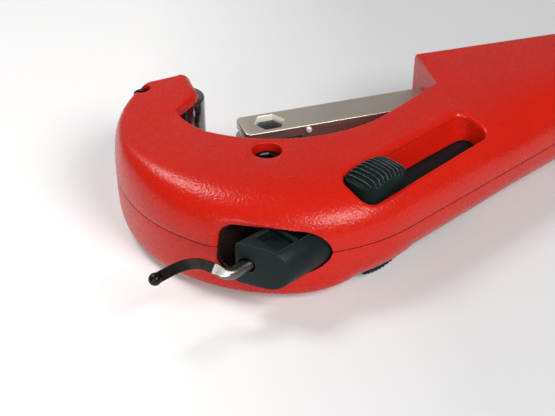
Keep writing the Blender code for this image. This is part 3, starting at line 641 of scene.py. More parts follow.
def body_spans():
    """Matched stretches of the outer and inner edges of the body, from the tip round to the knob end:
    (outer points, inner points, steps, upper and lower flank widths and inner rounding at its ends)."""
    corner_y = TIP_Y - TIP_CORNER_R
    reach = HOOK_R - TIP_CORNER_R
    corner_x = HOOK_X - math.sqrt(reach**2 - (corner_y - HOOK_Y) ** 2)
    tip_deg = math.degrees(math.atan2(corner_y - HOOK_Y, corner_x - HOOK_X))
    spine_deg = 270.0 + SPINE_DEG
    length = spine_length()

    def spine(share):
        return on_spine(share * length)

    def hook(a0, a1):
        return arc(HOOK_X, HOOK_Y, HOOK_R, a0, a1)

    throat_end = 270.0 + RAMP_DEG
    throat = arc(THROAT_X, THROAT_Y, THROAT_R, 225.0, throat_end)
    rise = math.tan(math.radians(RAMP_DEG))
    low = (MOUTH_X, throat[-1][1] + (MOUTH_X - throat[-1][0]) * rise)
    high = (MOUTH_X + MOUTH_LEAN, NECK_R)
    notch = (NOTCH_X, NOTCH_Y)
    corner = arc(corner_x, corner_y, TIP_CORNER_R, 90.0, tip_deg)
    tip_outer = [(TIP_X - TIP_FLAT, TIP_Y - TIP_NOSE)]
    tip_outer += [p for p in corner if p[1] < TIP_Y - TIP_NOSE]
    tip_inner = [(TIP_X, TIP_Y - 2 * TIP_NOSE), (TIP_X, TIP_LOW_Y)]
    kink = spine(1.0)
    end = kink[0] + NECK_LONG
    rear = bend(spine(0.92), kink, (kink[0] + KINK, -NECK_R)) + [(end, -NECK_R)]
    jaw = [tip_inner[-1], (TIP_X - 2.0, TIP_LOW_Y - 3.5), notch]
    heel = bend(notch, (NOTCH_X - 0.5, NOTCH_Y - 8.0), throat[0])
    far = (rear[0][0] - 6.0, NECK_R)
    neck = NECK_R + 2.0
    tip = FLANK_TIP
    wide = FLANK_SPINE
    under = FLANK_UNDER
    elbow = FLANK_ELBOW
    below = FLANK_BELOW
    fork = 0.5 * (tip + under)
    edge = EDGE_R
    rim = RIM_R
    return [
        (tip_outer, tip_inner, 14, (TIP_EDGE, tip), (TIP_EDGE, tip), (JAW_R, JAW_R)),
        (hook(tip_deg, 183.0), jaw, 18, (tip, tip), (tip, fork), (JAW_R, rim)),
        (hook(183.0, 212.0), heel, 16, (tip, 0.5 * wide), (fork, under), (rim, rim)),
        (hook(212.0, 246.0), throat[:20], 18, (0.5 * wide, 0.82 * wide), (under, under), (rim, rim)),
        (hook(246.0, 274.0), throat[19:34], 16, (0.82 * wide, 0.9 * wide), (under, elbow), (rim, rim)),
        (hook(274.0, spine_deg), throat[33:], 12, (0.9 * wide, wide), (elbow, below), (rim, rim)),
        ([spine(0.0), spine(0.29)], [throat[-1], low], 12, (wide, wide), (below, below), (rim, rim)),
        ([spine(0.29), spine(0.46)], [low, high], 10, (wide, wide), (below, below), (rim, edge)),
        ([spine(0.46), spine(0.92)], [high, far], 16, (wide, neck), (below, neck), (edge, edge + 1)),
        (rear, [far, (end, NECK_R)], 14, (neck, NECK_R), (neck, NECK_R), (edge + 1, NECK_R)),
    ]


def section(outer, inner, flank, rounding, power, inset=0.0, ahead=0.0):
    """Half of a cross-section: (x, y, height) points from the outer edge over the top to the inner edge.
    An end section is inset all round and moved ahead, at right angles to itself."""
    width = math.dist(outer, inner)
    flank = min(flank, 0.62 * width)
    across = min(rounding, width - flank - 0.4)
    low = 0.3 * PART_GAP
    lip = JOINT_LIP
    rows = [(1.5 * lip, low), (0.4 * lip, low + 0.4 * lip), (0.0, low + 1.5 * lip)]
    steps = 24
    for k in range(1, steps + 1):
        a = math.radians(90.0 * k / steps)
        d = flank * (1.0 - math.cos(a) ** (2 / power)) if k < steps else flank
        rows.append((d, HALF * math.sin(a) ** (2 / power)))
    for k in range(9):
        a = math.radians(90.0 * k / 8)
        fall = min(rounding, HALF - 1.0)
        rows.append((width - across * (1 - math.sin(a)), HALF - fall * (1 - math.cos(a))))
    rows += [(width, low + 1.5 * lip), (width - 0.4 * lip, low + 0.4 * lip), (width - 1.5 * lip, low)]
    u = ((inner[0] - outer[0]) / width, (inner[1] - outer[1]) / width)
    points = []
    for d, z in rows:
        d = inset + d * (width - 2 * inset) / width
        z = low + (z - low) * (HALF - inset - low) / (HALF - low)
        points.append((outer[0] + u[0] * d - u[1] * ahead, outer[1] + u[1] * d + u[0] * ahead, z))
    return points


def body_half(name, sign):
    spans = body_spans()
    first = spans[0]
    flank = (first[3] if sign > 0 else first[4])[0]
    rows = []
    for k in range(7, 0, -1):
        a = math.radians(12.0 * k)
        inset, ahead = TIP_NOSE * (1 - math.cos(a)), TIP_NOSE * math.sin(a)
        rows.append(section(first[0][0], first[1][0], flank, first[5][0], FLANK_POWER, inset, ahead))
    for number, (outer, inner, steps, above, below, roundings) in enumerate(spans):
        a, b = spread(outer, steps), spread(inner, steps)
        flanks = above if sign > 0 else below
        for i in range(steps + 1):
            if i == 0 and number > 0:
                continue
            t = i / steps
            swell = t**UNDER_EASE if sign < 0 and number == ELBOW_SPAN else t
            flank = flanks[0] + (flanks[1] - flanks[0]) * swell
            rounding = roundings[0] + (roundings[1] - roundings[0]) * t
            power = FLANK_POWER
            if sign < 0 and number <= ELBOW_SPAN + 1:
                full = max(0.0, min(1.0, (FLANK_SPINE - flank) / (FLANK_SPINE - FLANK_UNDER)))
                power += (UNDER_POWER - FLANK_POWER) * full
            rows.append(section(a[i], b[i], flank, rounding, power))
    return loft(name, [[(x, y, sign * z) for x, y, z in row] for row in rows])


def holder_outline(inner, outer, half, r, steps=24):
    """D-shaped section of the slider's holder: flat on the inner side, round on the outer side."""
    points = [(inner + r - r * math.sin(a), r - half - r * math.cos(a)) for a in quarter(6)]
    points += [(inner + r - r * math.cos(a), half - r + r * math.sin(a)) for a in quarter(6)]
    centre = outer - half
    turn = [math.pi * k / steps for k in range(steps + 1)]
    points += [(centre + half * math.sin(a), half * math.cos(a)) for a in turn]
    return points


def slot_outline(spare, long=0.0, steps=10):
    """Rounded rectangle of the button in the slider frame, with room all round and a longer back end."""
    half = 0.5 * BUTTON_LONG + spare
    wide = 0.5 * BUTTON_W + spare
    r = BUTTON_CORNER + spare
    s0, s1 = BUTTON_S - half - long, BUTTON_S + half
    t0, t1 = BUTTON_T - wide, BUTTON_T + wide
    turn = quarter(steps)
    points = [(s1 - r + r * math.sin(a), t0 + r - r * math.cos(a)) for a in turn]
    points += [(s1 - r + r * math.cos(a), t1 - r + r * math.sin(a)) for a in turn]
    points += [(s0 + r - r * math.sin(a), t1 - r + r * math.cos(a)) for a in turn]
    points += [(s0 + r - r * math.cos(a), t0 + r - r * math.sin(a)) for a in turn]
    return points


def drafted_slot(name, place, spare, long=0.0):
    """The button's slot; below its round rim the inner wall leans in, down to the rail."""
    outline = slot_outline(spare, long)
    outer = max(t for s, t in outline)
    wide = outer - min(t for s, t in outline)
    knee = HALF - SLOT_RIM - 0.6
    rings = []
    for z, lean in ((0.5 * RAIL_HALF, SLOT_LEAN), (RAIL_HALF, SLOT_LEAN), (knee, 0.0), (2 * HALF, 0.0)):
        rings.append([place(s, outer - (outer - t) * (1 - lean / wide), z) for s, t in outline])
    return loft(name, rings)


def holder_face(t):
    """Where the holder's slanted front face lies along the slide: its outer side is set back."""
    return HOLDER_FRONT - (t - HOLDER_IN) * math.tan(math.radians(HOLDER_SLANT_DEG))


def window_left():
    turn = math.radians(BLADE_TURN_DEG)
    return SHANK_T - BLADE_OFFSET * math.cos(turn) - BALL_R - WINDOW_SIDE


def window_outline(spare):
    """The deburrer's window seen along the slide: the blade's end on the left, the holder's on the right."""
    tall = HOLDER_HALF + 0.5 + spare
    left = window_left() - spare
    r = WINDOW_R
    centre = HOLDER_OUT + 0.5 - HOLDER_HALF - 0.5
    turn = [math.pi * k / 28 for k in range(29)]
    points = [(centre + tall * math.sin(a), tall * math.cos(a)) for a in turn]
    points += [(left + r - r * math.sin(a), r - tall - r * math.cos(a)) for a in quarter(10)]
    points += [(left + r - r * math.cos(a), tall - r + r * math.sin(a)) for a in quarter(10)]
    return points


def roller_places():
    return ("tip", TIP_ROLLER_X, ROLLER_Y), ("heel", HEEL_ROLLER_X, -ROLLER_Y)


def bearing():
    """Where the pieces along the spindle start, counted back from the end of the handle."""
    back = handle_end() + 0.5
    bush = back - BUSH_LONG
    return {
        "bush": bush,
        "flange": bush + 0.4 * BUSH_LONG,
        "knob": back + 2 * FIT + RING,
    }


def body_cutters():
    wide = 0.5 * BAR_W + FIT
    tall = 0.5 * BAR_H + FIT
    seat = bearing()
    ways = [
        box("bar_way", BAR_FRONT, BAR_BACK + NUT_LONG + TRAVEL_BACK + 2, -wide, wide, -tall, tall),
        lathe(
            "spindle_way",
            [
                (BAR_BACK, COLLAR_R + FIT),
                (seat["bush"] - 0.5, COLLAR_R + FIT),
                (seat["bush"] - 0.5, BUSH_R + FIT),
                (seat["flange"] - FIT, BUSH_R + FIT),
                (seat["flange"] - FIT, BUSH_FLANGE_R + FIT),
                (seat["flange"] + BUSH_FLANGE + FIT, BUSH_FLANGE_R + FIT),
                (seat["flange"] + BUSH_FLANGE + FIT, BUSH_R + FIT),
                (handle_end() + 5, BUSH_R + FIT),
            ],
            lengthways,
            48,
        ),
    ]
    deep = ROLLER_HALF + 0.5
    hole = AXLE_HALF + FIT
    for side, x, y in roller_places():
        profile = [
            (-hole, AXLE_R + FIT),
            (-deep, AXLE_R + FIT),
            (-deep, ROLLER_R + 0.8),
            (deep, ROLLER_R + 0.8),
            (deep, AXLE_R + FIT),
            (hole, AXLE_R + FIT),
        ]
        ways.append(lathe(side + "_pocket", profile, upright(x, y), 56))
    wall = ROLLER_Y + ROLLER_R + 0.5
    pocket = TIP_ROLLER_X - ROLLER_R
    fork = [
        (pocket + 0.5, ROLLER_Y - ROLLER_R),
        (NOTCH_X + 2.0, NOTCH_Y - 2.0),
        (TIP_X + ROLLER_R, NOTCH_Y - 2.0),
        (TIP_X + ROLLER_R, wall),
        (TIP_ROLLER_X, wall - 0.2),
        (pocket + 0.5, ROLLER_Y + 4.0),
    ]
    ways.append(prism("tip_fork", fork, 0.1 - deep, deep - 0.1))
    back = HOLDER_FRONT - HOLDER_LONG - SLIDE_TRAVEL - 1.0
    left = window_left()
    root = BLADE_FROM - SLIDE_TRAVEL - 3.0
    out = HOLDER_FRONT + 40.0
    tall = HOLDER_HALF + 0.5
    channel = holder_outline(HOLDER_IN - 0.4, HOLDER_OUT + 0.5, tall, 2.0, 28)
    ways.append(prism("holder_way", channel, back, out, along_slide))
    r = WINDOW_R
    blade_way = [(HOLDER_IN + 3.0, 0.2 - tall), (HOLDER_IN + 3.0, tall - 0.2)]
    blade_way += [(left + r - r * math.sin(a), tall - 0.2 - r + r * math.cos(a)) for a in quarter(10)]
    blade_way += [(left + r - r * math.cos(a), r + 0.2 - tall - r * math.sin(a)) for a in quarter(10)]
    ways.append(prism("blade_way", blade_way, root, out, along_slide))
    rail = holder_outline(RAIL_IN - 0.4, HOLDER_OUT - 0.1, RAIL_HALF + 0.4, 1.0)
    ways.append(prism("rail_way", rail, RAIL_BACK - SLIDE_TRAVEL - 1.0, back + 5, along_slide))
    for side, place in (("upper", slide), ("lower", below_slide)):
        ways.append(drafted_slot(side + "_slot", place, 0.4, SLIDE_TRAVEL))
    s0 = RAIL_BACK + 4.0
    deep = RAIL_IN - FIT - SPRING_BOW - SPRING_THICK - 0.6
    tall = SPRING_HALF + 0.4
    ways.append(
        box("spring_pocket", s0 - 0.6, s0 + SPRING_LONG + 0.6, deep, RAIL_IN + 1.0, -tall, tall, slide)
    )
    for name, (x, y, head, shank) in SCREWS.items():
        profile = [
            (-SHANK_DEEP - 0.5, shank + FIT),
            (HEAD_SEAT, shank + FIT),
            (HEAD_SEAT, head + 0.4),
            (2 * HALF, head + 0.4),
        ]
        ways.append(lathe(name + "_hole", profile, upright(x, y), 40))
    return ways


def uncut_tree(shells):
    """A tree to look up where a line meets the shells before anything is cut out of them."""
    bm = bmesh.new()
    for shell in shells:
        bm.from_mesh(shell.data)
    tree = BVHTree.FromBMesh(bm)
    bm.free()
    return tree


def soft_rim(name, outline, place, tree, radius, steps=6):
    """Cutter that rounds the mouth of an opening, where it comes out of the uncut shells; the radius is
    given for each place on the outline."""
    far, near = 3 * HALF + HOLDER_FRONT, 0.0

    def surface(u, v, fallback):
        a = Vector(place(u, v, far)) + Vector((0, 0, HALF))
        b = Vector(place(u, v, near)) + Vector((0, 0, HALF))
        hit = tree.ray_cast(a * MM, (b - a).normalized(), (far - near) * MM)
        return far - hit[3] / MM if hit[0] else fallback

    n = len(outline)
    area = sum(outline[i - 1][0] * outline[i][1] - outline[i][0] * outline[i - 1][1] for i in range(n))
    outwards = 1.0 if area > 0 else -1.0
    rings = [[] for _ in range(steps + 3)]
    height = 0.0
    for i, (u, v) in enumerate(outline):
        (u0, v0), (u1, v1) = outline[i - 1], outline[(i + 1) % n]
        size = math.hypot(u1 - u0, v1 - v0)
        nu, nv = outwards * (v1 - v0) / size, outwards * (u0 - u1) / size
        r = radius(u, v)
        height = surface(u, v, height)
        rings[0].append(place(u, v, height - r - 0.6))
        for ring, a in zip(rings[1:], quarter(steps)):
            e = r * (1 - math.cos(a))
            height = surface(u + nu * e, v + nv * e, height)
            ring.append(place(u + nu * e, v + nv * e, height + r * (math.sin(a) - 1) + 0.02))
        rings[-1].append(place(u + nu * r, v + nv * r, height + 3.0))
    return loft(name, rings)


def window_rim(t, z):
    """The window's rim is broad at the blade's end, most of all above, and tightens along the holder."""
    share = min(1.0, max(0.0, (HOLDER_IN + 4.0 - t) / 8.0))
    upper = min(1.0, max(0.0, (z + 1.0) / 4.0))
    return 0.25 + (WINDOW_RIM * (1.0 + 1.2 * upper) - 0.25) * share


def below_slide(u, v, w):
    return slide(u, v, -w)


def circle(x, y, r, sides=40):
    turn = [2 * math.pi * (k + 0.5) / sides for k in range(sides)]
    return [(x + r * math.cos(a), y + r * math.sin(a)) for a in turn]


def in_window(t, z, spare):
    """Whether a place seen along the slide lies in the window, with its rounded corners."""
    tall = HOLDER_HALF + 0.5 + spare
    centre = HOLDER_OUT - HOLDER_HALF
    if t > centre:
        return math.hypot(t - centre, z) < tall
    r = WINDOW_R
    corner_t, corner_z = window_left() - spare + r - t, abs(z) - tall + r
    if corner_t > 0.0 and corner_z > 0.0:
        return math.hypot(corner_t, corner_z) < r
    return corner_t < r and corner_z < r


def mark_shade_and_joint(ob):
    """Marks the walls of the deburrer's channel and the joint faces between the halves; the coating paints them near
    black, as painted shade for the dark hollow of the casting and the gap between the halves.
    """
    x0, y0, _ = slide(0.0, 0.0, 0.0)
    xs, ys, _ = slide(1.0, 0.0, 0.0)
    xt, yt, _ = slide(0.0, 1.0, 0.0)
    layer = ob.data.attributes.new("inside", "FLOAT", "FACE")
    for face, spot in zip(ob.data.polygons, layer.data):
        dx, dy = face.center[0] / MM - x0, face.center[1] / MM - y0
        s = dx * (xs - x0) + dy * (ys - y0)
        t = dx * (xt - x0) + dy * (yt - y0)
        z = face.center[2] / MM - HALF
        joint = abs(z) < PART_GAP and abs(face.normal[2]) > 0.9
        spot.value = 1.0 if joint or s > 0.0 and in_window(t, z, 0.06) else 0.0


def make_body():
    halves = {1: body_half("upper_shell", 1), -1: body_half("lower_shell", -1)}
    tree = uncut_tree(halves.values())
    ways = body_cutters()
    slot = slot_outline(0.42, SLIDE_TRAVEL)
    ways.append(soft_rim("window_rim", window_outline(0.02), along_slide, tree, window_rim))
    for side, place in (("upper", slide), ("lower", below_slide)):
        ways.append(soft_rim(side + "_slot_rim", slot, place, tree, lambda u, v: SLOT_RIM))
    for name, (x, y, head, shank) in SCREWS.items():
        if name != "tip_screw":
            edge = circle(x, y, head + 0.42)
            ways.append(soft_rim(name + "_rim", edge, plan, tree, lambda u, v: SCREW_RIM))
    for sign, node in ((1, "upper_body_half"), (-1, "lower_body_half")):
        ob = combine(halves[sign], ways)
        mark_shade_and_joint(ob)
        finish_mesh(ob, "red_coating", 30.0)
        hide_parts(node)
        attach(ob, "body")
    drop(ways)


# Rollers, carriage and feed

def placed(ob, node, slot, body, sharp_deg=34.0, look=None):
    """Finishes a piece that stands for a CAD node."""
    finish_mesh(ob, slot, sharp_deg, look)
    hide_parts(node)
    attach(ob, body)


def round_edge(h, r, dh, dr, steps=5):
    """Profile points round a turned corner from (h, r - dr) to (h + dh, r)."""
    return [(h + dh * (1 - math.cos(a)), r - dr * (1 - math.sin(a))) for a in quarter(steps)]


def make_rollers():
    for side, x, y in roller_places():
        bore = AXLE_R + FIT
        edge = 0.9
        profile = [(-ROLLER_HALF + 0.3, bore), (-ROLLER_HALF, bore + 0.3)]
        profile += round_edge(-ROLLER_HALF, ROLLER_R, edge, edge)
        profile += round_edge(ROLLER_HALF, ROLLER_R, -edge, edge)[::-1]
        profile += [(ROLLER_HALF, bore + 0.3), (ROLLER_HALF - 0.3, bore)]
        ob = lathe(side + "_roller_sleeve", profile, upright(x, y), 96, ring=True)
        placed(ob, side + "_roller", "polished_steel", side + "_roller", look="roller_steel")


def socket_head(name, lo, seat, top, shank, head, across, place, flat):
    """A screw with a rounded head and a hexagon socket; flat places the socket's outline."""
    profile = [(lo, shank - 0.3), (lo + 0.4, shank), (seat, shank), (seat, head - 0.2), (seat + 0.2, head)]
    profile += [(h, r) for h, r in round_edge(top, head, -0.5, 0.5)[::-1]]
    ob = lathe(name, profile, place, 48)
    lip = 0.3
    rings = [(top - 2.0, across), (top - lip, across), (top + 0.02, across + 2 * lip), (top + 1.0, across + 2 * lip)]
    socket = loft(name + "_socket", [[flat(u, v, w) for u, v in hexagon(0, 0, af)] for w, af in rings])
    combine(ob, [socket])
    drop([socket])
    return ob


def make_screws():
    for name, (x, y, head, shank) in SCREWS.items():
        top = HEAD_SEAT + FIT + HEAD_HIGH + (TIP_HEAD_RISE if name == "tip_screw" else HEAD_RISE)

        def flat(u, v, w):
            return x + u, y + v, w

        ob = socket_head(
            name + "_head", -SHANK_DEEP, HEAD_SEAT + FIT, top, shank, head, 1.05 * head, upright(x, y), flat
        )
        placed(ob, name, "dark_steel", "body", look="black_oxide")


def hex_ring(across, z):
    return [(u, v, z) for u, v in hexagon(WHEEL_X, 0, across)]


def make_carriage():
    w, h = 0.5 * BAR_W, 0.5 * BAR_H
    c = 1.2
    nose = [(BAR_BACK, -w), (BAR_BACK, w), (BAR_FRONT + c, w), (BAR_FRONT, w - c), (BAR_FRONT, c - w)]
    nose.append((BAR_FRONT + c, -w))
    bar = bevelled(prism("carriage_beam", nose, -h, h), 0.45, 3, 30.0)
    gap = WHEEL_HUB + FIT
    fork = WHEEL_X + WHEEL_R + 0.8
    lip = 0.35
    pocket = HEX_AF + 0.6
    levels = [(pocket, h - HEX_DEEP), (pocket, h - lip), (pocket + 1.4 * lip, h + 0.02), (pocket + 1.4 * lip, h + 5)]
    spot = upright(WHEEL_X, 0.0)
    stop_x = MOUTH_X - TRAVEL_BACK - STOP_R - 0.4
    stop_z = 0.5 * (gap + h)
    pin_y = -w + 2.4

    def sideways(a, b, c):
        return stop_x + b, a, stop_z + c

    cutters = [
        box("wheel_slot", BAR_FRONT - 5, fork, -w - 5, w + 5, -gap, gap),
        rod("rod_bore", fork + 2.5, BAR_BACK + 5, ROD_R + FIT, lengthways),
        loft("hex_pocket", [hex_ring(af, z) for af, z in levels]),
        rod("bolt_hole", -h - 5, h, BOLT_R + FIT, spot),
        rod("stop_hole", -w - 5, pin_y, STOP_R + 0.2, sideways, 32),
    ]
    combine(bar, cutters)
    drop(cutters)
    for name in ("pocket_highlight", "side"):
        bar.data.attributes.new(name, "FLOAT", "FACE")
    pocket_highlight, side = (bar.data.attributes[name].data for name in ("pocket_highlight", "side"))
    # the pocket's walls are marked for a painted highlight, the bar's other upright faces for painted shade
    for face in bar.data.polygons:
        off = math.hypot(face.center[0] / MM - WHEEL_X, face.center[1] / MM)
        upright_face = abs(face.normal[2]) < 0.6
        in_pocket = off < 0.5 * pocket + 0.6 and face.center[2] / MM - HALF > 0.2 * h
        pocket_highlight[face.index].value = 1.0 if upright_face and in_pocket else 0.0
        side[face.index].value = 1.0 if upright_face and not in_pocket else 0.0
    placed(bar, "carriage_bar", "satin_nickel", "carriage")

    dome = [(-w - 1.2 + 0.7 * (1 - math.sin(a)), STOP_R * math.cos(a)) for a in quarter(6)[::-1]][1:]
    pin = lathe("stop_stud", [(-w - 1.2, 0.05)] + dome + [(pin_y - FIT, STOP_R)], sideways, 32)
    # its look paints the glint on the stud
    placed(pin, "stop_pin", "satin_nickel", "carriage", look="painted_glint_stud")

    seat = h - HEX_DEEP + FIT
    top = seat + BOLT_HEAD
    bolt = loft(
        "wheel_bolt_head",
        [hex_ring(HEX_AF - 0.3, seat), hex_ring(HEX_AF, seat + 0.15), hex_ring(HEX_AF, top - 0.25), hex_ring(HEX_AF - 0.5, top)],
    )
    shank = rod("bolt_shank", -h + 0.4, seat + 0.7, BOLT_R, spot)
    combine(bolt, [shank], "UNION")
    drop([shank])
    placed(bolt, "wheel_bolt", "dark_steel", "carriage", look="black_oxide")

    hole = BOLT_R + FIT
    half = [(WHEEL_HUB, hole + 0.2), (WHEEL_HUB, WHEEL_HUB_R - 0.3), (WHEEL_HUB - 0.3, WHEEL_HUB_R)]
    half += [(1.2, WHEEL_HUB_R + 0.3), (1.1, WHEEL_HUB_R + 0.8), (1.1, WHEEL_R - 4.0)]
    half += [(0.85, WHEEL_R - 3.2), (0.1, WHEEL_R)]
    profile = [(-z, r) for z, r in half] + half[::-1] + [(WHEEL_HUB - 0.2, hole), (0.2 - WHEEL_HUB, hole)]
    wheel = lathe("cutter_disc", profile, spot, 96, ring=True)
    placed(wheel, "cutting_wheel", "tool_steel", "wheel", 22.0)


def smooth_track(stations, steps):
    """Points on a smooth curve through stations of equal length, steps to each gap."""
    out = []
    for i in range(len(stations) - 1):
        p0, p1 = stations[max(i - 1, 0)], stations[i]
        p2, p3 = stations[i + 1], stations[min(i + 2, len(stations) - 1)]
        for k in range(steps):
            t = k / steps
            out.append(
                tuple(
                    0.5 * (2 * b + (c - a) * t + (2 * a - 5 * b + 4 * c - d) * t**2 + (3 * b - a - 3 * c + d) * t**3)
                    for a, b, c, d in zip(p0, p1, p2, p3)
                )
            )
    return out + [stations[-1]]


def make_knob():
    start = bearing()["knob"]
    recess = start + KNOB_LONG - 9.0
    stations = [(0.0, 0.72, 0.0), (1.2, 0.78, 0.0), (6.0, 0.80, 0.0), (10.0, 0.97, 0.5), (13.0, 1.0, 1.0)]
    stations += [(KNOB_LONG - 7.0, 0.98, 1.0), (KNOB_LONG - 3.0, 0.93, 0.6)]
    stations += [(KNOB_LONG - 0.8, 0.82, 0.1), (KNOB_LONG, 0.76, 0.0)]
    sides = 16 * KNOB_FLUTES
    rings = []
    for h, share, flute in smooth_track(stations, 5):
        ring = []
        for i in range(sides):
            a = 2 * math.pi * i / sides
            dip = FLUTE_DEEP * max(0.0, flute) * max(0.0, math.cos(KNOB_FLUTES * a)) ** 2
            r = min(KNOB_R, KNOB_R * share) - dip
            ring.append((start + h, r * math.cos(a), r * math.sin(a)))
        rings.append(ring)
    knob = loft("knob_grip", rings)
    well = [(recess, 6.2), (start + KNOB_LONG - 0.5, 6.2), (start + KNOB_LONG + 0.02, 6.8), (start + KNOB_LONG + 5, 6.8)]
    cutters = [
        rod("knob_bore", start - 5, recess + 1, 0.5 * SQUARE + FIT, lengthways),
        lathe("knob_well", well, lengthways, 56),
    ]
    combine(knob, cutters)
    drop(cutters)
    placed(knob, "feed_knob", "black_plastic", "feed", 30.0)
    screw = socket_head(
        "knob_screw_head", recess - 10.0, recess + FIT, recess + 4.0, 1.8, 4.4, 4.0, lengthways, end_on
    )
    placed(screw, "knob_screw", "polished_steel", "feed", look="dark_steel")


# Deburrer

def make_slider():
    back = HOLDER_FRONT - HOLDER_LONG
    ob = prism(
        "blade_holder",
        holder_outline(HOLDER_IN, HOLDER_OUT, HOLDER_HALF, 1.0),
        back,
        HOLDER_FRONT + 2.0,
        along_slide,
    )
    inner, outer = HOLDER_IN - 2.0, HOLDER_OUT + 2.0
    ahead = HOLDER_FRONT + 5.0
    front = [(holder_face(inner), inner), (ahead, inner), (ahead, outer), (holder_face(outer), outer)]
    slant = prism("holder_slant", front, -HALF, HALF, slide)
    combine(ob, [slant])
    bevelled(ob, 0.3, 2, 50.0)
    rail = prism(
        "slider_rail", holder_outline(RAIL_IN, HOLDER_OUT - 0.5, RAIL_HALF, 1.0), RAIL_BACK, back + 4, along_slide
    )
    combine(ob, [rail], "UNION")
    cutters = []
    lip = 0.3
    for sign in (1, -1):
        for k in range(2):
            s0 = BLADE_FROM - 12.9 - 9.0 * k
            t0 = HOLDER_IN + 2.2
            rings = []
            for grow, z in ((0.0, 0.68 * HOLDER_HALF), (0.0, HOLDER_HALF - lip), (lip, HOLDER_HALF + 0.02), (lip, HALF)):
                corners = [(s0 - grow, t0 - grow), (s0 + 7.6 + grow, t0 - grow)]
                corners += [(s0 + 7.6 + grow, t0 + 9.7 + grow), (s0 - grow, t0 + 9.7 + grow)]
                rings.append([slide(s, t, sign * z) for s, t in corners])
            cutters.append(loft(f"recess_{sign}_{k}", rings))
    root = BLADE_FROM - SHANK_LONG
    seat = holder_face(SHANK_T + BLADE_BUSH_R) - BUSH_SUNK
    bore = [(root - 1.0, BLADE_BUSH_R + 0.2), (seat + FIT, BLADE_BUSH_R + 0.2), (seat + FIT, SHANK_R + 0.7)]
    cutters.append(lathe("bush_hole", bore + [(HOLDER_FRONT + 5.0, SHANK_R + 0.7)], shank_line, 48))
    combine(ob, cutters)
    drop([slant, rail] + cutters)
    placed(ob, "deburrer_slider", "black_plastic", "deburrer", 28.0)

    hole = SHANK_R + FIT
    bush = lathe(
        "blade_sleeve",
        [(root, hole), (root, BLADE_BUSH_R), (seat - 0.3, BLADE_BUSH_R), (seat, BLADE_BUSH_R - 0.3), (seat, hole)],
        shank_line,
        48,
        ring=True,
    )
    placed(bush, "blade_bush", "bearing_bronze", "deburrer")


def thumb_button(node, sign):
    """Barrel-shaped button with round cross ridges; its near and far sides are plain."""
    half = 0.5 * BUTTON_LONG
    wide = 0.5 * BUTTON_W
    foot = RAIL_HALF + FIT
    rib = (BUTTON_LONG - 2.0) / BUTTON_RIBS
    stations = [(-half, 1.0)]
    for k in range(BUTTON_RIBS):
        for f in range(12):
            phase = f / 12
            stations.append((1.0 - half + (k + phase) * rib, (0.5 + 0.5 * math.cos(2 * math.pi * phase)) ** 0.6))
    stations += [(half - 1.0, 1.0), (half, 1.0)]
    across = [-1.0, -0.99, -0.96, -0.91, -0.84, -0.7, -0.5, -0.25, 0.0]
    across += [-f for f in across[-2::-1]]
    rings, lit = [], []
    for s, dip in stations:
        crown = HALF + BUTTON_PROUD - BUTTON_FALL * (s / half) ** 2
        ring = [(SLOT_LEAN - wide, foot)]
        edge = [0.0]
        for f in across:
            z = crown - BUTTON_DOME * f**4 - 1.2 * max(0.0, abs(f) - 0.84) / 0.16
            groove = RIB_DEEP * dip * (1.0 if abs(f) < 0.97 else 0.0)
            ring.append((f * wide, z - groove))
            # painted highlight on the flat ridge crests, not on the plain sides
            edge.append(1.0 if dip < 0.01 and abs(f) < 0.97 else 0.0)
        ring.append((wide, foot))
        edge.append(0.0)
        rings.append([slide(BUTTON_S + s, BUTTON_T + t, sign * z) for t, z in ring])
        lit += edge
    ob = loft(node + "_ridged", rings)
    layer = ob.data.attributes.new("crest_highlight", "FLOAT", "POINT")
    for spot, value in zip(layer.data, lit):
        spot.value = value
    ends = drafted_slot(node + "_ends", slide if sign > 0 else below_slide, -0.01)
    combine(ob, [ends], "INTERSECT")
    drop([ends])
    placed(ob, node, "black_plastic", "deburrer", 50.0, "ridged_plastic")


def blade_track():
    """Stations along the blade: distance along the slide, offset, radius, and height of the ground flat."""
    start, n, f = BLADE_FROM, BLADE_LONG, BLADE_OFFSET
    path = [(start - SHANK_LONG + 1.0 + 1.5 * k, 0.0) for k in range(11)]
    path += bend((start + 4.0, 0.0), (start + 7.5, 0.0), (start + 0.29 * n, 0.3 * f), 20)
    path += spread([(start + 0.29 * n, 0.3 * f), (start + 0.36 * n, 0.6 * f)], 10)[1:-1]
    path += bend((start + 0.36 * n, 0.6 * f), (start + 0.45 * n, 0.97 * f), (start + 0.7 * n, f), 30)
    path += [(start + n * (0.7 + 0.03 * k), f) for k in range(1, 6)]
    runs = [0.0]
    for p, q in zip(path, path[1:]):
        runs.append(runs[-1] + math.dist(p, q))
    turn_in = runs[11 + 8]
    rows = []
    for (s, o), run in zip(path, runs):
        share = min(1.0, max(0.0, (run - turn_in) / GROUND_LONG))
        r = SHANK_R + (ARM_R - SHANK_R) * share
        rows.append((s, o, r, r + (0.35 * r - r) * share))
    for k in range(13):
        a = math.radians(118.0 - 9.6 * k)
        rows.append((start + n - BALL_R + BALL_R * math.cos(a), f, BALL_R * math.sin(a), BALL_R))
    return rows, turn_in, runs


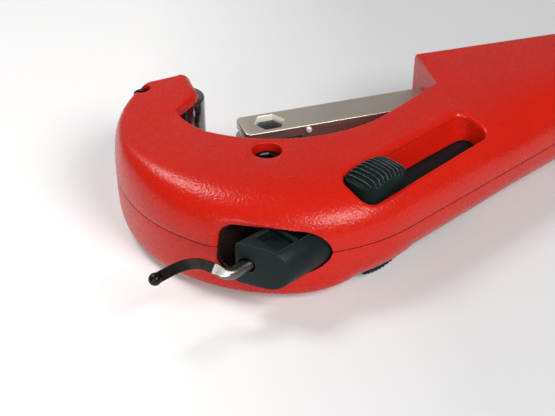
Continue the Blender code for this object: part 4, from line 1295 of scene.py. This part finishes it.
def make_blade():
    """A round shank that cranks out to one side and runs on as a flat-ground arm with a ball at its end."""
    turn = math.radians(BLADE_TURN_DEG)
    tilt = math.radians(GROUND_TILT_DEG)
    rows, turn_in, runs = blade_track()
    sides = 40
    rings, bright = [], []
    for i, (s, o, r, flat) in enumerate(rows):
        before, after = rows[max(i - 1, 0)], rows[min(i + 1, len(rows) - 1)]
        lean = math.atan2(after[1] - before[1], after[0] - before[0])
        run = runs[i] if i < len(runs) else runs[-1]
        fade = (run - turn_in) / GROUND_LONG
        ring = []
        for k in range(sides):
            a = 2 * math.pi * (k + 0.5) / sides
            u, v = r * math.cos(a), r * math.sin(a)
            high = v * math.cos(tilt) - u * math.sin(tilt)
            on_flat = high > flat
            excess = max(0.0, high - flat)
            u, v = u + excess * math.sin(tilt), v - excess * math.cos(tilt)
            along, off = s - u * math.sin(lean), o + u * math.cos(lean)
            t = SHANK_T - off * math.cos(turn) + v * math.sin(turn)
            ring.append(slide(along, t, off * math.sin(turn) + v * math.cos(turn)))
            shine = 0.4 if fade < 0.5 else 0.0
            bright.append(1.0 if on_flat and 0.0 <= fade <= 1.0 else shine)
        rings.append(ring)
    ob = loft("swivel_blade", rings)
    layer = ob.data.attributes.new("bare", "FLOAT", "POINT")
    for spot, value in zip(layer.data, bright):
        spot.value = value
    placed(ob, "deburring_blade", "tool_steel", "blade", 24.0, "blade_steel")


# Stage, light and camera

def pale_floor():
    """White sweep with painted shade: its colour darkens and cools towards the far right; seen directly it is a
    little brighter than it is lit.
    """
    m = Nodes("sweep_look", (0.90, 0.90, 0.90), 0.75, 0.0, 0.1)
    axes = m.node("ShaderNodeSeparateXYZ")
    m.link(m.coords, axes.inputs["Vector"])
    # painted shade: the sweep's colour falls from near white to grey towards the far right
    right = m.math("SUBTRACT", axes.outputs["X"], m.math("MULTIPLY", axes.outputs["Y"], 0.3))
    m.colour(m.blend(m.remap(right, -0.15, -0.03, 0.0, 1.0), (0.90, 0.90, 0.91), (0.60, 0.61, 0.63)))
    path = m.node("ShaderNodeLightPath")
    seen = m.math("MAXIMUM", path.outputs["Is Camera Ray"], path.outputs["Is Glossy Ray"])
    seen = m.math("MAXIMUM", seen, path.outputs["Is Transmission Ray"])
    m.set(m.shader, "Emission Color", (1.0, 1.0, 1.0, 1.0))
    m.link(m.math("MULTIPLY", seen, FLOOR_LIFT), m.shader.inputs["Emission Strength"])
    return m.mat


def make_stage():
    low = cad_box[0][2]
    size = 3.0
    reach = 0.9
    rise = 0.6
    rows = [(-2.0, 0.0), (reach, 0.0)]
    rows += [(reach + rise * math.sin(a), rise * (1 - math.cos(a))) for a in quarter(16)][1:]
    rows.append((reach + rise, 2.5))
    verts, faces = [], []
    for y, z in rows:
        verts += [(-size, y, low + z), (size, y, low + z)]
    for i in range(len(rows) - 1):
        faces.append((2 * i, 2 * i + 1, 2 * i + 3, 2 * i + 2))
    mesh = bpy.data.meshes.new("sweep")
    mesh.from_pydata(verts, [], faces)
    for face in mesh.polygons:
        face.use_smooth = True
    ob = bpy.data.objects.new("sweep", mesh)
    bpy.context.scene.collection.objects.link(ob)
    mesh.materials.append(pale_floor())


def area(name, place, target, size, power, colour=(1.0, 1.0, 1.0)):
    light = bpy.data.lights.new(name, "AREA")
    light.shape = "RECTANGLE"
    light.size, light.size_y = size
    light.energy = power
    light.color = colour
    ob = bpy.data.objects.new(name, light)
    ob.location = place
    ob.rotation_euler = (Vector(target) - Vector(place)).to_track_quat("-Z", "Y").to_euler()
    bpy.context.scene.collection.objects.link(ob)


def make_light():
    world = bpy.data.worlds.new("studio")
    world.use_nodes = True
    back = world.node_tree.nodes["Background"]
    back.inputs["Color"].default_value = (0.82, 0.84, 0.87, 1.0)
    path = world.node_tree.nodes.new("ShaderNodeLightPath")
    level = world.node_tree.nodes.new("ShaderNodeMapRange")
    level.inputs["To Min"].default_value = WORLD_LIGHT
    level.inputs["To Max"].default_value = WORLD_SEEN
    world.node_tree.links.new(path.outputs["Is Camera Ray"], level.inputs["Value"])
    world.node_tree.links.new(level.outputs["Result"], back.inputs["Strength"])
    bpy.context.scene.world = world
    middle = (-0.09, -0.05, 0.02)
    area("front", (0.18, -0.70, 0.66), middle, (0.42, 0.42), 6.8, (1.0, 0.97, 0.92))
    area("left", (-0.55, -0.75, 0.28), middle, (0.5, 0.3), 2.6, (1.0, 0.98, 0.95))
    area("overhead", (-0.40, 0.26, 0.72), middle, (0.27, 0.27), 3.1)


def make_camera():
    camera = bpy.data.cameras.new("camera")
    camera.lens = 64.865
    camera.sensor_width = 36.0
    camera.clip_start = 0.01
    ob = bpy.data.objects.new("camera", camera)
    place = Vector((-0.193007, -0.306930, 0.203398))
    target = Vector((-0.103037, -0.045640, 0.017))
    ob.location = place
    ob.rotation_euler = (target - place).to_track_quat("-Z", "Y").to_euler()
    bpy.context.scene.collection.objects.link(ob)
    bpy.context.scene.camera = ob


def dress_cad():
    """Looks for the CAD nodes that stay as they are."""
    for row in frame["record"]["subparts"]:
        ob = frame["nodes"][row["node"]]
        ob.data.materials.clear()
        ob.data.materials.append(LOOKS[row["material_slot"]])


dress_cad()
make_body()
make_rollers()
make_screws()
make_carriage()
make_knob()
make_slider()
thumb_button("upper_thumb_button", 1)
thumb_button("lower_thumb_button", -1)
make_blade()
make_stage()
make_light()
make_camera()
bpy.context.scene.view_settings.view_transform = "Standard"
